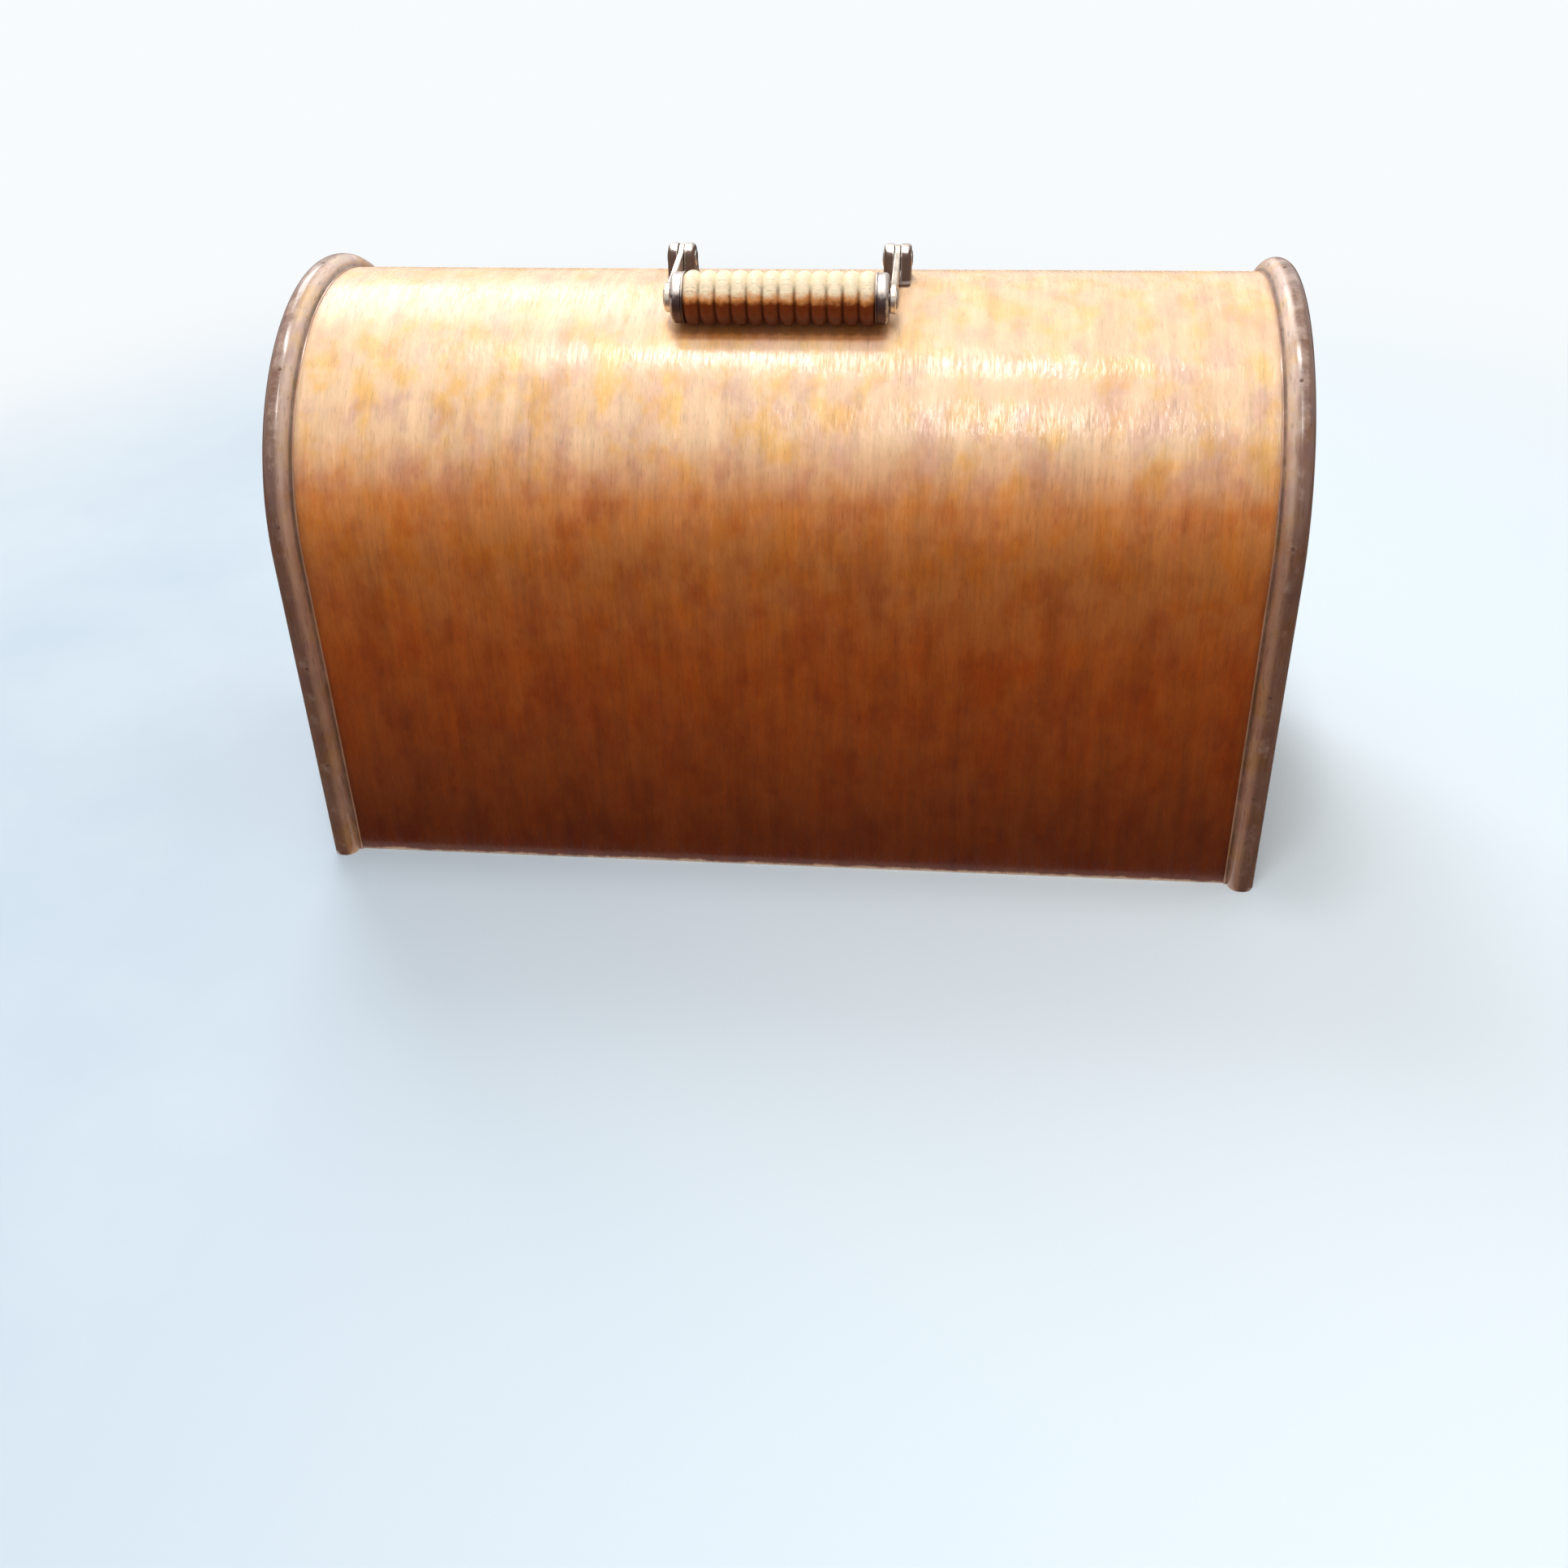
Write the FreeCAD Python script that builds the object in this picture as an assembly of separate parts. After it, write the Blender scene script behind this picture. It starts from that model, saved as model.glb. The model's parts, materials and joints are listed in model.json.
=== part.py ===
"""Bentwood cover box for a small hand-cranked sewing machine.

An open-bottomed wooden cover: one thin sheet is bent over two arched end panels, and a bent bead
moulding hides its cut edge at each end. A turned grip on two steel links folds down onto the crown.
The right end holds a half-mortise lock whose hook swings out below the rim to catch the wooden base,
and the left end holds a slotted catch plate that drops over a fixed hook on the base.

Millimetres. +X runs along the cover towards the lock, +Y to the back, +Z up. The origin is on the
ground at the middle of the footprint. The handle is folded down to the front.
"""

import FreeCAD
import Part
import math
import os

from FreeCAD import Vector

# Overall sizes
cover_length = 430.0
shell_width = 192.0
crown_height = 245.0
side_height = 153.0
crown_sweep = 90.0
shell_thickness = 5.0

# Bent bead moulding at each end
bead_width = 13.0
bead_proud = 6.0
bead_lip = 4.0
bead_edge_round = 1.5
bead_pin_radius = 0.8
bead_pin_length = 15.0
bead_pin_sunk = 0.3
side_pin_count = 2
arch_pin_count = 5
arch_pin_spread = 80.0

# End panels and inside stiffening
panel_thickness = 14.0
rail_depth = 16.0
rail_height = 24.0
rail_chamfer = 5.0
glue_block_leg = 12.0
glue_block_length = 42.0
bent_block_sweep = 26.0
side_glue_blocks = 2

# Handle brackets on the crown
bracket_spacing = 93.0
bracket_flange_length = 20.0
bracket_flange_thickness = 1.5
bracket_flange_corner = 1.8
ear_thickness = 4.2
ear_top_radius = 6.0
ear_foot_width = 16.0
ear_edge_round = 1.6
pivot_height = 9.0
pivot_pin_radius = 2.0
pivot_head_radius = 3.4
pivot_head_height = 0.7
stud_radius = 2.5
stud_tail = 3.0
batten_overhang = 22.5
batten_width = 36.0
batten_thickness = 12.0
washer_radius = 8.0
washer_thickness = 1.5
nut_width = 10.0
nut_height = 4.5

# Handle
link_thickness = 2.6
link_reach = 40.0
link_pin_eye_radius = 5.5
link_rod_eye_radius = 6.0
link_waist_width = 8.0
link_hollow_radius = 5.0
rod_radius = 3.0
rod_head_radius = 4.2
rod_head_height = 1.0
grip_radius = 11.0
grip_rib_count = 12
grip_groove_depth = 1.7
grip_spigot_radius = 9.6
cap_length = 5.5
cap_wall = 0.9
cap_edge_round = 1.6

# Clearances
link_side_clearance = 0.3
turning_clearance = 0.08
grip_end_clearance = 0.3
grip_rest_clearance = 0.3
hook_side_clearance = 0.5
hook_collar_clearance = 0.2
spring_clearance = 0.3

# Lock in the right end panel
plate_thickness = 1.8
plate_width = 60.0
plate_height = 38.0
plate_corner_radius = 5.0
lock_case_width = 44.0
lock_case_height = 32.0
lock_case_depth = 8.0
lock_case_wall = 1.2
lock_case_corner_radius = 2.5
hook_thickness = 3.0
hook_pivot_y = -14.7
hook_pivot_z = 10.6
hook_pivot_radius = 2.2
hook_collar_radius = 3.6
hook_hub_radius = 5.0
hook_claw_inner_radius = 13.0
hook_claw_outer_radius = 17.0
hook_tip_angle = -22.0
hook_arm_angle = 48.0
hook_arm_sweep = 18.0
hook_tail_reach = 12.0
hook_tail_width = 4.6
hook_tail_angle = 95.0
spring_thickness = 0.6
spring_height = 24.0
spring_foot_height = 4.0
key_z = 24.0
key_post_radius = 1.0
keyhole_radius = 2.6
keyhole_slot_width = 2.4
keyhole_slot_reach = 7.5
keyhole_plate_width = 15.0
keyhole_plate_height = 27.0
keyhole_plate_thickness = 1.2
keyhole_pin_radius = 0.7
keyhole_pin_head_radius = 1.4
keyhole_pin_head_height = 0.6
keyhole_pin_depth = 3.0

# Catch in the left end panel
catch_slot_width = 6.0
catch_slot_length = 18.0
catch_pocket_height = 14.0
catch_slot_setback = 3.5

# Plate screws
screw_head_radius = 3.0
screw_shank_radius = 1.4
screw_length = 11.0
screw_edge_distance = 4.5
screw_top_drop = 8.0
screw_bottom_rise = 10.0

# Places worked out from the sizes above
half_length = cover_length / 2
half_width = shell_width / 2
rise = crown_height - side_height
shoulder_turn = math.radians(180 - crown_sweep) / 2
turn_cos, turn_sin = math.cos(shoulder_turn), math.sin(shoulder_turn)
shoulder_radius = (rise * turn_cos - half_width * (1 - turn_sin)) / (turn_cos + turn_sin - 1)
shoulder_inset = half_width - shoulder_radius
crown_radius = shoulder_radius + shoulder_inset / turn_cos
crown_centre_z = crown_height - crown_radius

panel_outer_x = half_length - bead_lip
panel_inner_x = panel_outer_x - panel_thickness

pivot_z = crown_height + pivot_height
ear_gap = link_thickness + 2 * link_side_clearance
bracket_width = ear_gap + 2 * ear_thickness
batten_length = bracket_spacing + 2 * batten_overhang
batten_bottom_z = crown_height - shell_thickness - batten_thickness
washer_bottom_z = batten_bottom_z - washer_thickness
nut_bottom_z = washer_bottom_z - nut_height

lock_case_outer_x = panel_inner_x + plate_thickness + lock_case_depth
hook_x = panel_inner_x + plate_thickness + (lock_case_depth - lock_case_wall - hook_thickness) / 2

X_AXIS = Vector(1, 0, 0)
Y_AXIS = Vector(0, 1, 0)
Z_AXIS = Vector(0, 0, 1)
ORIGIN = Vector(0, 0, 0)
RIGHT = 1
LEFT = -1


# ---- small building blocks ----

def box(x0, x1, y0, y1, z0, z1):
    return Part.makeBox(x1 - x0, y1 - y0, z1 - z0, Vector(x0, y0, z0))


def rod_along_x(radius, x0, x1, y, z):
    return Part.makeCylinder(radius, x1 - x0, Vector(x0, y, z), X_AXIS)


def face_of(edges):
    return Part.Face(Part.Wire(Part.__sortEdges__(edges)))


def polygon(points):
    return Part.Face(Part.makePolygon(points + points[:1]))


def polar(y, z, radius, degrees):
    """The point at this radius and angle above +Y about (y, z), in the plane of the end panels."""
    angle = math.radians(degrees)
    return Vector(0, y + radius * math.cos(angle), z + radius * math.sin(angle))


def extruded_between(face, x0, x1):
    """A face drawn at x = 0 becomes a solid that runs from x0 to x1."""
    solid = face.extrude(Vector(x1 - x0, 0, 0))
    solid.translate(Vector(x0, 0, 0))
    return solid


def fused(shapes):
    return shapes[0].fuse(shapes[1:]).removeSplitter()


def other_end(shape):
    """The same piece for the left end."""
    return shape.mirror(ORIGIN, X_AXIS)


# ---- the arch that everything follows ----

def arch_edges(offset):
    """The arch from the front foot to the back foot, this far outside the shell's outer face."""
    foot = half_width + offset
    shoulder = shoulder_radius + offset

    def on_shoulder(side, turn):
        return Vector(
            0,
            side * (shoulder_inset + shoulder * math.cos(turn)),
            side_height + shoulder * math.sin(turn),
        )

    top = Vector(0, 0, crown_height + offset)
    edges = [Part.Arc(on_shoulder(-1, shoulder_turn), top, on_shoulder(1, shoulder_turn)).toShape()]
    for side in (-1, 1):
        side_top = Vector(0, side * foot, side_height)
        edges.append(Part.LineSegment(Vector(0, side * foot, 0), side_top).toShape())
        middle = on_shoulder(side, shoulder_turn / 2)
        edges.append(Part.Arc(side_top, middle, on_shoulder(side, shoulder_turn)).toShape())
    return edges


def arch_face(outer, inner=None):
    """The filled arch, or the band between two offsets of it."""
    edges = arch_edges(outer)
    front, back = Vector(0, -half_width - outer, 0), Vector(0, half_width + outer, 0)
    if inner is None:
        return face_of(edges + [Part.LineSegment(front, back).toShape()])
    edges += arch_edges(inner)
    shift = Vector(0, outer - inner, 0)
    edges.append(Part.LineSegment(front, front + shift).toShape())
    edges.append(Part.LineSegment(back, back - shift).toShape())
    return face_of(edges)


def turned(shape, centre_y, centre_z, radians):
    """The shape swung upwards from the front foot, about a line along X."""
    copy = shape.copy()
    copy.rotate(Vector(0, centre_y, centre_z), X_AXIS, -math.degrees(radians))
    return copy


def at_side_top(section):
    copy = section.copy()
    copy.translate(Vector(0, 0, side_height))
    return copy


def bent_along_arch(section):
    """A section drawn at the front foot, bent up, over and down to the back foot."""
    leg = section.extrude(Vector(0, 0, side_height))
    start = at_side_top(section)
    shoulder = start.revolve(
        Vector(0, -shoulder_inset, side_height), -X_AXIS, math.degrees(shoulder_turn)
    )
    crown_start = turned(start, -shoulder_inset, side_height, shoulder_turn)
    crown = crown_start.revolve(
        Vector(0, 0, crown_centre_z), -X_AXIS, 180 - 2 * math.degrees(shoulder_turn)
    )
    mirrored = [piece.mirror(ORIGIN, Y_AXIS) for piece in (leg, shoulder)]
    return fused([leg, shoulder, crown] + mirrored)


def struck_from(lean):
    """Centre and radius of the arch where its outside leans this many degrees back from upright."""
    if abs(lean) <= crown_sweep / 2:
        return Vector(0, 0, crown_centre_z), crown_radius
    side = math.copysign(1, lean)
    return Vector(0, side * shoulder_inset, side_height), shoulder_radius


def arch_piece(section, lean, sweep):
    """A short stretch of a section drawn at the front foot, bent along the arch about this lean."""
    centre, radius = struck_from(lean)
    level = section.copy()
    level.translate(Vector(0, centre.y + half_width - radius, centre.z))
    start = turned(level, centre.y, centre.z, math.radians(90 + lean - sweep / 2))
    return start.revolve(centre, -X_AXIS, sweep)


def evenly(count, low, high):
    """Places spread evenly from low to high, or the middle for a single one."""
    if count < 2:
        return [(low + high) / 2] * count
    return [low + (high - low) * i / (count - 1) for i in range(count)]


# ---- woodwork ----

def bead_section():
    """The right bead's section at the front foot: half round outside, with a lip over the shell's edge."""

    def at(inward, outward):
        return Vector(half_length - inward, -half_width - outward, 0)

    edge_round = min(bead_edge_round, bead_lip * 0.8, shell_thickness * 0.8)
    bend = edge_round * (1 - math.sqrt(0.5))
    crest = at(bead_width / 2, bead_proud)
    round_start = at(0, edge_round - shell_thickness)
    round_middle = at(bend, bend - shell_thickness)
    round_end = at(edge_round, -shell_thickness)
    lip_inside = at(bead_lip, -shell_thickness)
    return face_of([
        Part.Arc(at(bead_width, 0), crest, at(0, 0)).toShape(),
        Part.LineSegment(at(0, 0), round_start).toShape(),
        Part.Arc(round_start, round_middle, round_end).toShape(),
        Part.LineSegment(round_end, lip_inside).toShape(),
        Part.LineSegment(lip_inside, at(bead_lip, 0)).toShape(),
        Part.LineSegment(at(bead_lip, 0), at(bead_width, 0)).toShape(),
    ])


def bead_pins(above=0.0):
    """Brads through the right bead and the shell into the end panel's edge, or their holes."""
    head_offset = bead_proud - bead_pin_sunk + above
    length = bead_pin_length + above
    x = half_length - bead_width / 2
    pins = []
    edge_gap = side_height / (side_pin_count + 1)
    for z in evenly(side_pin_count, edge_gap, side_height - edge_gap):
        for side in (-1, 1):
            head = Vector(x, side * (half_width + head_offset), z)
            inwards = Vector(0, -side, 0)
            pins.append(Part.makeCylinder(bead_pin_radius, length, head, inwards))
    for lean in evenly(arch_pin_count, -arch_pin_spread, arch_pin_spread):
        centre, radius = struck_from(lean)
        outward = Vector(0, math.sin(math.radians(lean)), math.cos(math.radians(lean)))
        head = Vector(x, 0, 0) + centre + outward * (radius + head_offset)
        pins.append(Part.makeCylinder(bead_pin_radius, length, head, -outward))
    return pins


def glue_blocks():
    """Three-cornered blocks in the corner between the shell and the right end panel."""
    corner = Vector(panel_inner_x, -half_width + shell_thickness, 0)
    section = polygon([
        corner,
        corner - X_AXIS * glue_block_leg,
        corner + Y_AXIS * glue_block_leg,
    ])
    blocks = []
    clear_low = rail_height + glue_block_leg
    clear_high = side_height - glue_block_length
    for z in evenly(side_glue_blocks, clear_low, clear_high):
        block = section.copy()
        block.translate(Vector(0, 0, z))
        block = block.extrude(Vector(0, 0, glue_block_length))
        blocks += [block, block.mirror(ORIGIN, Y_AXIS)]
    shoulder_lean = (crown_sweep + 180) / 4
    for lean in (-shoulder_lean, 0, shoulder_lean):
        blocks.append(arch_piece(section, lean, bent_block_sweep))
    return blocks


def front_rail():
    """Hardwood strip inside the shell's front lower edge, between the end panels."""
    outer_y = -half_width + shell_thickness
    inner_y = outer_y + rail_depth
    chamfer = min(rail_chamfer, rail_depth * 0.8, rail_height * 0.8)
    section = polygon([
        Vector(0, outer_y, 0),
        Vector(0, inner_y, 0),
        Vector(0, inner_y, rail_height - chamfer),
        Vector(0, inner_y - chamfer, rail_height),
        Vector(0, outer_y, rail_height),
    ])
    return extruded_between(section, -panel_inner_x, panel_inner_x)


def handle_batten():
    """Block under the crown that takes the pull of the handle, hollowed to the shell's curve on top."""
    inside = extruded_between(arch_face(-shell_thickness), -batten_length / 2, batten_length / 2)
    blank = box(
        -batten_length / 2, batten_length / 2,
        -batten_width / 2, batten_width / 2,
        batten_bottom_z, crown_height,
    )
    return inside.common(blank).cut(stud_holes())


def bracket_places():
    return (LEFT * bracket_spacing / 2, RIGHT * bracket_spacing / 2)


def stud_holes():
    return [
        Part.makeCylinder(stud_radius, crown_height - nut_bottom_z, Vector(x, 0, nut_bottom_z), Z_AXIS)
        for x in bracket_places()
    ]


def bentwood_shell():
    sheet = extruded_between(arch_face(0, -shell_thickness), -panel_outer_x, panel_outer_x)
    return sheet.cut(stud_holes() + bead_pins() + [other_end(pin) for pin in bead_pins()])


def end_panel():
    """The right end panel before its fittings are let in."""
    panel = extruded_between(arch_face(-shell_thickness), panel_inner_x, panel_outer_x)
    return panel.cut(bead_pins())


# ---- handle ----

def tangent_point(y, z, centre_z, radius):
    """Where a line from (y, z) touches the upper outside of a circle about (0, centre_z)."""
    distance = math.hypot(y, centre_z - z)
    heading = math.atan2(z - centre_z, y)
    return polar(0, centre_z, radius, math.degrees(heading + math.acos(radius / distance)))


def bracket_ear():
    """One upright ear, drawn about the middle of the crown and round at the top."""
    foot_z = crown_height + bracket_flange_thickness / 2
    touch = tangent_point(ear_foot_width / 2, foot_z, pivot_z, ear_top_radius)
    opposite = Vector(0, -touch.y, touch.z)
    right_foot = Vector(0, ear_foot_width / 2, foot_z)
    left_foot = Vector(0, -ear_foot_width / 2, foot_z)
    outline = face_of([
        Part.LineSegment(right_foot, touch).toShape(),
        Part.Arc(touch, Vector(0, 0, pivot_z + ear_top_radius), opposite).toShape(),
        Part.LineSegment(opposite, left_foot).toShape(),
        Part.LineSegment(left_foot, right_foot).toShape(),
    ])
    ear = extruded_between(outline, ear_gap / 2, bracket_width / 2)
    rim = [
        edge for edge in ear.Edges
        if all(abs(v.X - bracket_width / 2) < 1e-6 for v in edge.Vertexes)
        and edge.CenterOfMass.z > foot_z + 1e-6
    ]
    return ear.makeFillet(min(ear_edge_round, ear_thickness * 0.8), rim)


def handle_bracket(x):
    """Two ears on a flange that follows the crown, with a threaded stud down through the batten."""
    flange_band = arch_face(bracket_flange_thickness, 0)
    blank = box(
        -bracket_width / 2, bracket_width / 2,
        -bracket_flange_length / 2, bracket_flange_length / 2,
        crown_centre_z, crown_height + bracket_flange_thickness,
    )
    beyond_ears = (bracket_flange_length - ear_foot_width) / 2
    upright = [edge for edge in blank.Edges if abs(edge.tangentAt(edge.FirstParameter).z) > 0.9]
    blank = blank.makeFillet(min(bracket_flange_corner, 0.9 * beyond_ears), upright)
    flange = extruded_between(flange_band, -bracket_width / 2, bracket_width / 2).common(blank)
    stud_bottom = nut_bottom_z - stud_tail
    stud_top = crown_height + bracket_flange_thickness / 2
    stud = Part.makeCylinder(stud_radius, stud_top - stud_bottom, Vector(0, 0, stud_bottom), Z_AXIS)
    ear = bracket_ear()
    bracket = fused([flange, ear, ear.mirror(ORIGIN, X_AXIS), stud])
    bracket = bracket.cut(
        rod_along_x(pivot_pin_radius, -bracket_width, bracket_width, 0, pivot_z)
    )
    bracket.translate(Vector(x, 0, 0))
    return bracket


def bracket_pin(x):
    """Riveted pivot pin with a low head outside each ear."""
    reach = bracket_width / 2
    pin = fused([
        rod_along_x(pivot_pin_radius, -reach, reach, 0, pivot_z),
        rod_along_x(pivot_head_radius, reach, reach + pivot_head_height, 0, pivot_z),
        rod_along_x(pivot_head_radius, -reach - pivot_head_height, -reach, 0, pivot_z),
    ])
    pin.translate(Vector(x, 0, 0))
    return pin


def bracket_washer(x):
    disc = Part.makeCylinder(washer_radius, washer_thickness, Vector(x, 0, washer_bottom_z), Z_AXIS)
    return disc.cut(stud_holes())


def bracket_nut(x):
    half = nut_width / 2
    block = box(x - half, x + half, -half, half, nut_bottom_z, washer_bottom_z)
    return block.cut(stud_holes())


def rest_drop():
    """How far below level the links lie, in degrees, when the grip rests on the crown."""
    pivot_reach = crown_radius + pivot_height
    grip_reach = crown_radius + grip_radius + grip_rest_clearance
    cosine = (pivot_reach**2 + link_reach**2 - grip_reach**2) / (2 * pivot_reach * link_reach)
    return 90 - math.degrees(math.acos(cosine))


def folded_down(shape):
    """A handle piece drawn level towards the front, turned down to where the grip rests."""
    shape.rotate(Vector(0, 0, pivot_z), X_AXIS, rest_drop())
    return shape


def handle_link(x):
    """Flat steel strap with an eye at each end: the upper turns on the bracket pin, the lower holds the rod."""
    inner, outer = x - link_thickness / 2, x + link_thickness / 2
    waist = box(
        inner, outer, -link_reach, 0, pivot_z - link_waist_width / 2, pivot_z + link_waist_width / 2
    )
    strap = fused([
        rod_along_x(link_pin_eye_radius, inner, outer, 0, pivot_z),
        rod_along_x(link_rod_eye_radius, inner, outer, -link_reach, pivot_z),
        waist,
    ])
    necks = [
        edge for edge in strap.Edges
        if abs(edge.Length - link_thickness) < 1e-6
        and abs(abs(edge.CenterOfMass.z - pivot_z) - link_waist_width / 2) < 1e-6
    ]
    strap = strap.makeFillet(link_hollow_radius, necks).cut([
        rod_along_x(pivot_pin_radius + turning_clearance, inner, outer, 0, pivot_z),
        rod_along_x(rod_radius, inner, outer, -link_reach, pivot_z),
    ])
    return folded_down(strap)


def grip_rod():
    """Steel rod through the grip, riveted over outside both links."""
    reach = bracket_spacing / 2 + link_thickness / 2
    return folded_down(fused([
        rod_along_x(rod_radius, -reach, reach, -link_reach, pivot_z),
        rod_along_x(rod_head_radius, reach, reach + rod_head_height, -link_reach, pivot_z),
        rod_along_x(rod_head_radius, -reach - rod_head_height, -reach, -link_reach, pivot_z),
    ]))


def grip_half_length():
    return bracket_spacing / 2 - link_thickness / 2 - grip_end_clearance


def handle_grip():
    """Wooden grip turned with a row of rounded ribs, a spigot at each end for its metal cap."""
    wood_end = grip_half_length() - cap_wall
    ribs_end = grip_half_length() - cap_length
    bore = rod_radius + turning_clearance
    groove_radius = grip_radius - grip_groove_depth
    rib = 2 * ribs_end / grip_rib_count

    def at(x, radius):
        return Vector(x, -link_reach, pivot_z + radius)

    edges = [
        Part.LineSegment(at(-wood_end, bore), at(-wood_end, grip_spigot_radius)),
        Part.LineSegment(at(-wood_end, grip_spigot_radius), at(-ribs_end, grip_spigot_radius)),
        Part.LineSegment(at(ribs_end, grip_spigot_radius), at(wood_end, grip_spigot_radius)),
        Part.LineSegment(at(wood_end, grip_spigot_radius), at(wood_end, bore)),
        Part.LineSegment(at(wood_end, bore), at(-wood_end, bore)),
    ]
    if abs(grip_spigot_radius - groove_radius) > 1e-6:
        for end in (-ribs_end, ribs_end):
            edges.append(Part.LineSegment(at(end, grip_spigot_radius), at(end, groove_radius)))
    for i in range(grip_rib_count):
        left = -ribs_end + i * rib
        edges.append(Part.Arc(
            at(left, groove_radius), at(left + rib / 2, grip_radius), at(left + rib, groove_radius)
        ))
    section = face_of([edge.toShape() for edge in edges])
    grip = section.revolve(at(0, 0), X_AXIS, 360)
    return folded_down(grip)


def grip_cap():
    """Pressed metal cup over the right end of the grip, loose on the rod."""
    outside = grip_half_length()
    cup_radius = grip_spigot_radius + cap_wall
    cup = rod_along_x(cup_radius, outside - cap_length, outside, -link_reach, pivot_z)
    rim = [
        edge for edge in cup.Edges
        if abs(edge.CenterOfMass.x - outside) < 1e-6 and edge.Length > math.pi * cup_radius
    ]
    cup = cup.makeFillet(min(cap_edge_round, cap_wall * 1.8), rim)
    cup = cup.cut([
        rod_along_x(grip_spigot_radius, outside - cap_length, outside - cap_wall, -link_reach, pivot_z),
        rod_along_x(rod_radius + turning_clearance, 0, half_length, -link_reach, pivot_z),
    ])
    return folded_down(cup)


# ---- lock and catch ----

def rounded_top_plate(width, height, corner, x0, x1, bottom_z=0.0):
    """Upright plate between x0 and x1 with its two top corners rounded."""
    half = width / 2
    plate = box(x0, x1, -half, half, bottom_z, bottom_z + height)
    corners = [
        edge for edge in plate.Edges
        if abs(edge.CenterOfMass.z - bottom_z - height) < 1e-6
        and abs(abs(edge.CenterOfMass.y) - half) < 1e-6
    ]
    return plate.makeFillet(min(corner, half * 0.8, height * 0.8), corners)


def plate_screw(y, z):
    """Countersunk wood screw driven outwards from the panel's inner face."""
    head_depth = screw_head_radius - screw_shank_radius
    head = Part.makeCone(
        screw_head_radius, screw_shank_radius, head_depth, Vector(panel_inner_x, y, z), X_AXIS
    )
    shank = rod_along_x(
        screw_shank_radius, panel_inner_x + head_depth, panel_inner_x + screw_length, y, z
    )
    return fused([head, shank])


def plate_screws():
    y = plate_width / 2 - screw_edge_distance
    return [
        plate_screw(side * y, z)
        for side in (-1, 1)
        for z in (screw_bottom_rise, plate_height - screw_top_drop)
    ]


def angle_plate():
    """Angle plate let in flush: one leg on the panel's inner face and one under its bottom edge."""
    upright = rounded_top_plate(
        plate_width, plate_height, plate_corner_radius, panel_inner_x, panel_inner_x + plate_thickness
    )
    foot = box(
        panel_inner_x, lock_case_outer_x, -plate_width / 2, plate_width / 2, 0, plate_thickness
    )
    return fused([upright, foot])


def hook_slot():
    """Slot in the lock plate's foot that the claw swings down through."""
    drop_above = hook_pivot_z - plate_thickness
    near = math.sqrt(hook_claw_inner_radius**2 - hook_pivot_z**2) - hook_side_clearance
    far = math.sqrt(hook_claw_outer_radius**2 - drop_above**2) + hook_side_clearance
    return box(
        hook_x - hook_side_clearance, hook_x + hook_thickness + hook_side_clearance,
        hook_pivot_y + near, hook_pivot_y + far, -plate_thickness, 2 * plate_thickness,
    )


def lock_plate():
    return angle_plate().cut(plate_screws() + [hook_slot()])


def keyhole(x0, x1):
    """Round barrel hole with a slot below it for the key's bit."""
    half_slot = keyhole_slot_width / 2
    return fused([
        rod_along_x(keyhole_radius, x0, x1, 0, key_z),
        box(x0, x1, -half_slot, half_slot, key_z - keyhole_slot_reach, key_z),
    ])


def lock_case_block(shrink=0.0):
    """The lock case's outside, or its inside when shrunk by its wall."""
    return rounded_top_plate(
        lock_case_width - 2 * shrink, lock_case_height - shrink, lock_case_corner_radius,
        panel_inner_x + plate_thickness, lock_case_outer_x - shrink, plate_thickness,
    )


def lock_case():
    """Pressed steel cover of the works, open towards the plate."""
    case = lock_case_block().cut(lock_case_block(lock_case_wall))
    return case.cut([keyhole(panel_inner_x, half_length)])


def ring_sector(inner, outer, start_degrees, end_degrees):
    """Part of a flat ring about the hook's pivot."""
    y, z = hook_pivot_y, hook_pivot_z
    middle = (start_degrees + end_degrees) / 2
    return face_of([
        Part.Arc(
            polar(y, z, outer, start_degrees), polar(y, z, outer, middle), polar(y, z, outer, end_degrees)
        ).toShape(),
        Part.LineSegment(polar(y, z, outer, end_degrees), polar(y, z, inner, end_degrees)).toShape(),
        Part.Arc(
            polar(y, z, inner, end_degrees), polar(y, z, inner, middle), polar(y, z, inner, start_degrees)
        ).toShape(),
        Part.LineSegment(polar(y, z, inner, start_degrees), polar(y, z, outer, start_degrees)).toShape(),
    ])


def lock_hook():
    """Swinging hook: a claw concentric with its pivot, the arm that the key pushes, and a tail."""
    x0, x1 = hook_x, hook_x + hook_thickness
    arm_end = hook_arm_angle + hook_arm_sweep
    claw = ring_sector(hook_claw_inner_radius, hook_claw_outer_radius, hook_tip_angle, arm_end)
    arm = ring_sector(hook_hub_radius / 2, hook_claw_outer_radius, hook_arm_angle, arm_end)
    tail = box(
        x0, x1,
        hook_pivot_y, hook_pivot_y + hook_tail_reach,
        hook_pivot_z - hook_tail_width / 2, hook_pivot_z + hook_tail_width / 2,
    )
    tail.rotate(Vector(0, hook_pivot_y, hook_pivot_z), X_AXIS, hook_tail_angle)
    hook = fused([
        rod_along_x(hook_hub_radius, x0, x1, hook_pivot_y, hook_pivot_z),
        extruded_between(claw, x0, x1),
        extruded_between(arm, x0, x1),
        tail,
    ])
    bore = hook_pivot_radius + turning_clearance
    return hook.cut(rod_along_x(bore, x0, x1, hook_pivot_y, hook_pivot_z))


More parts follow.
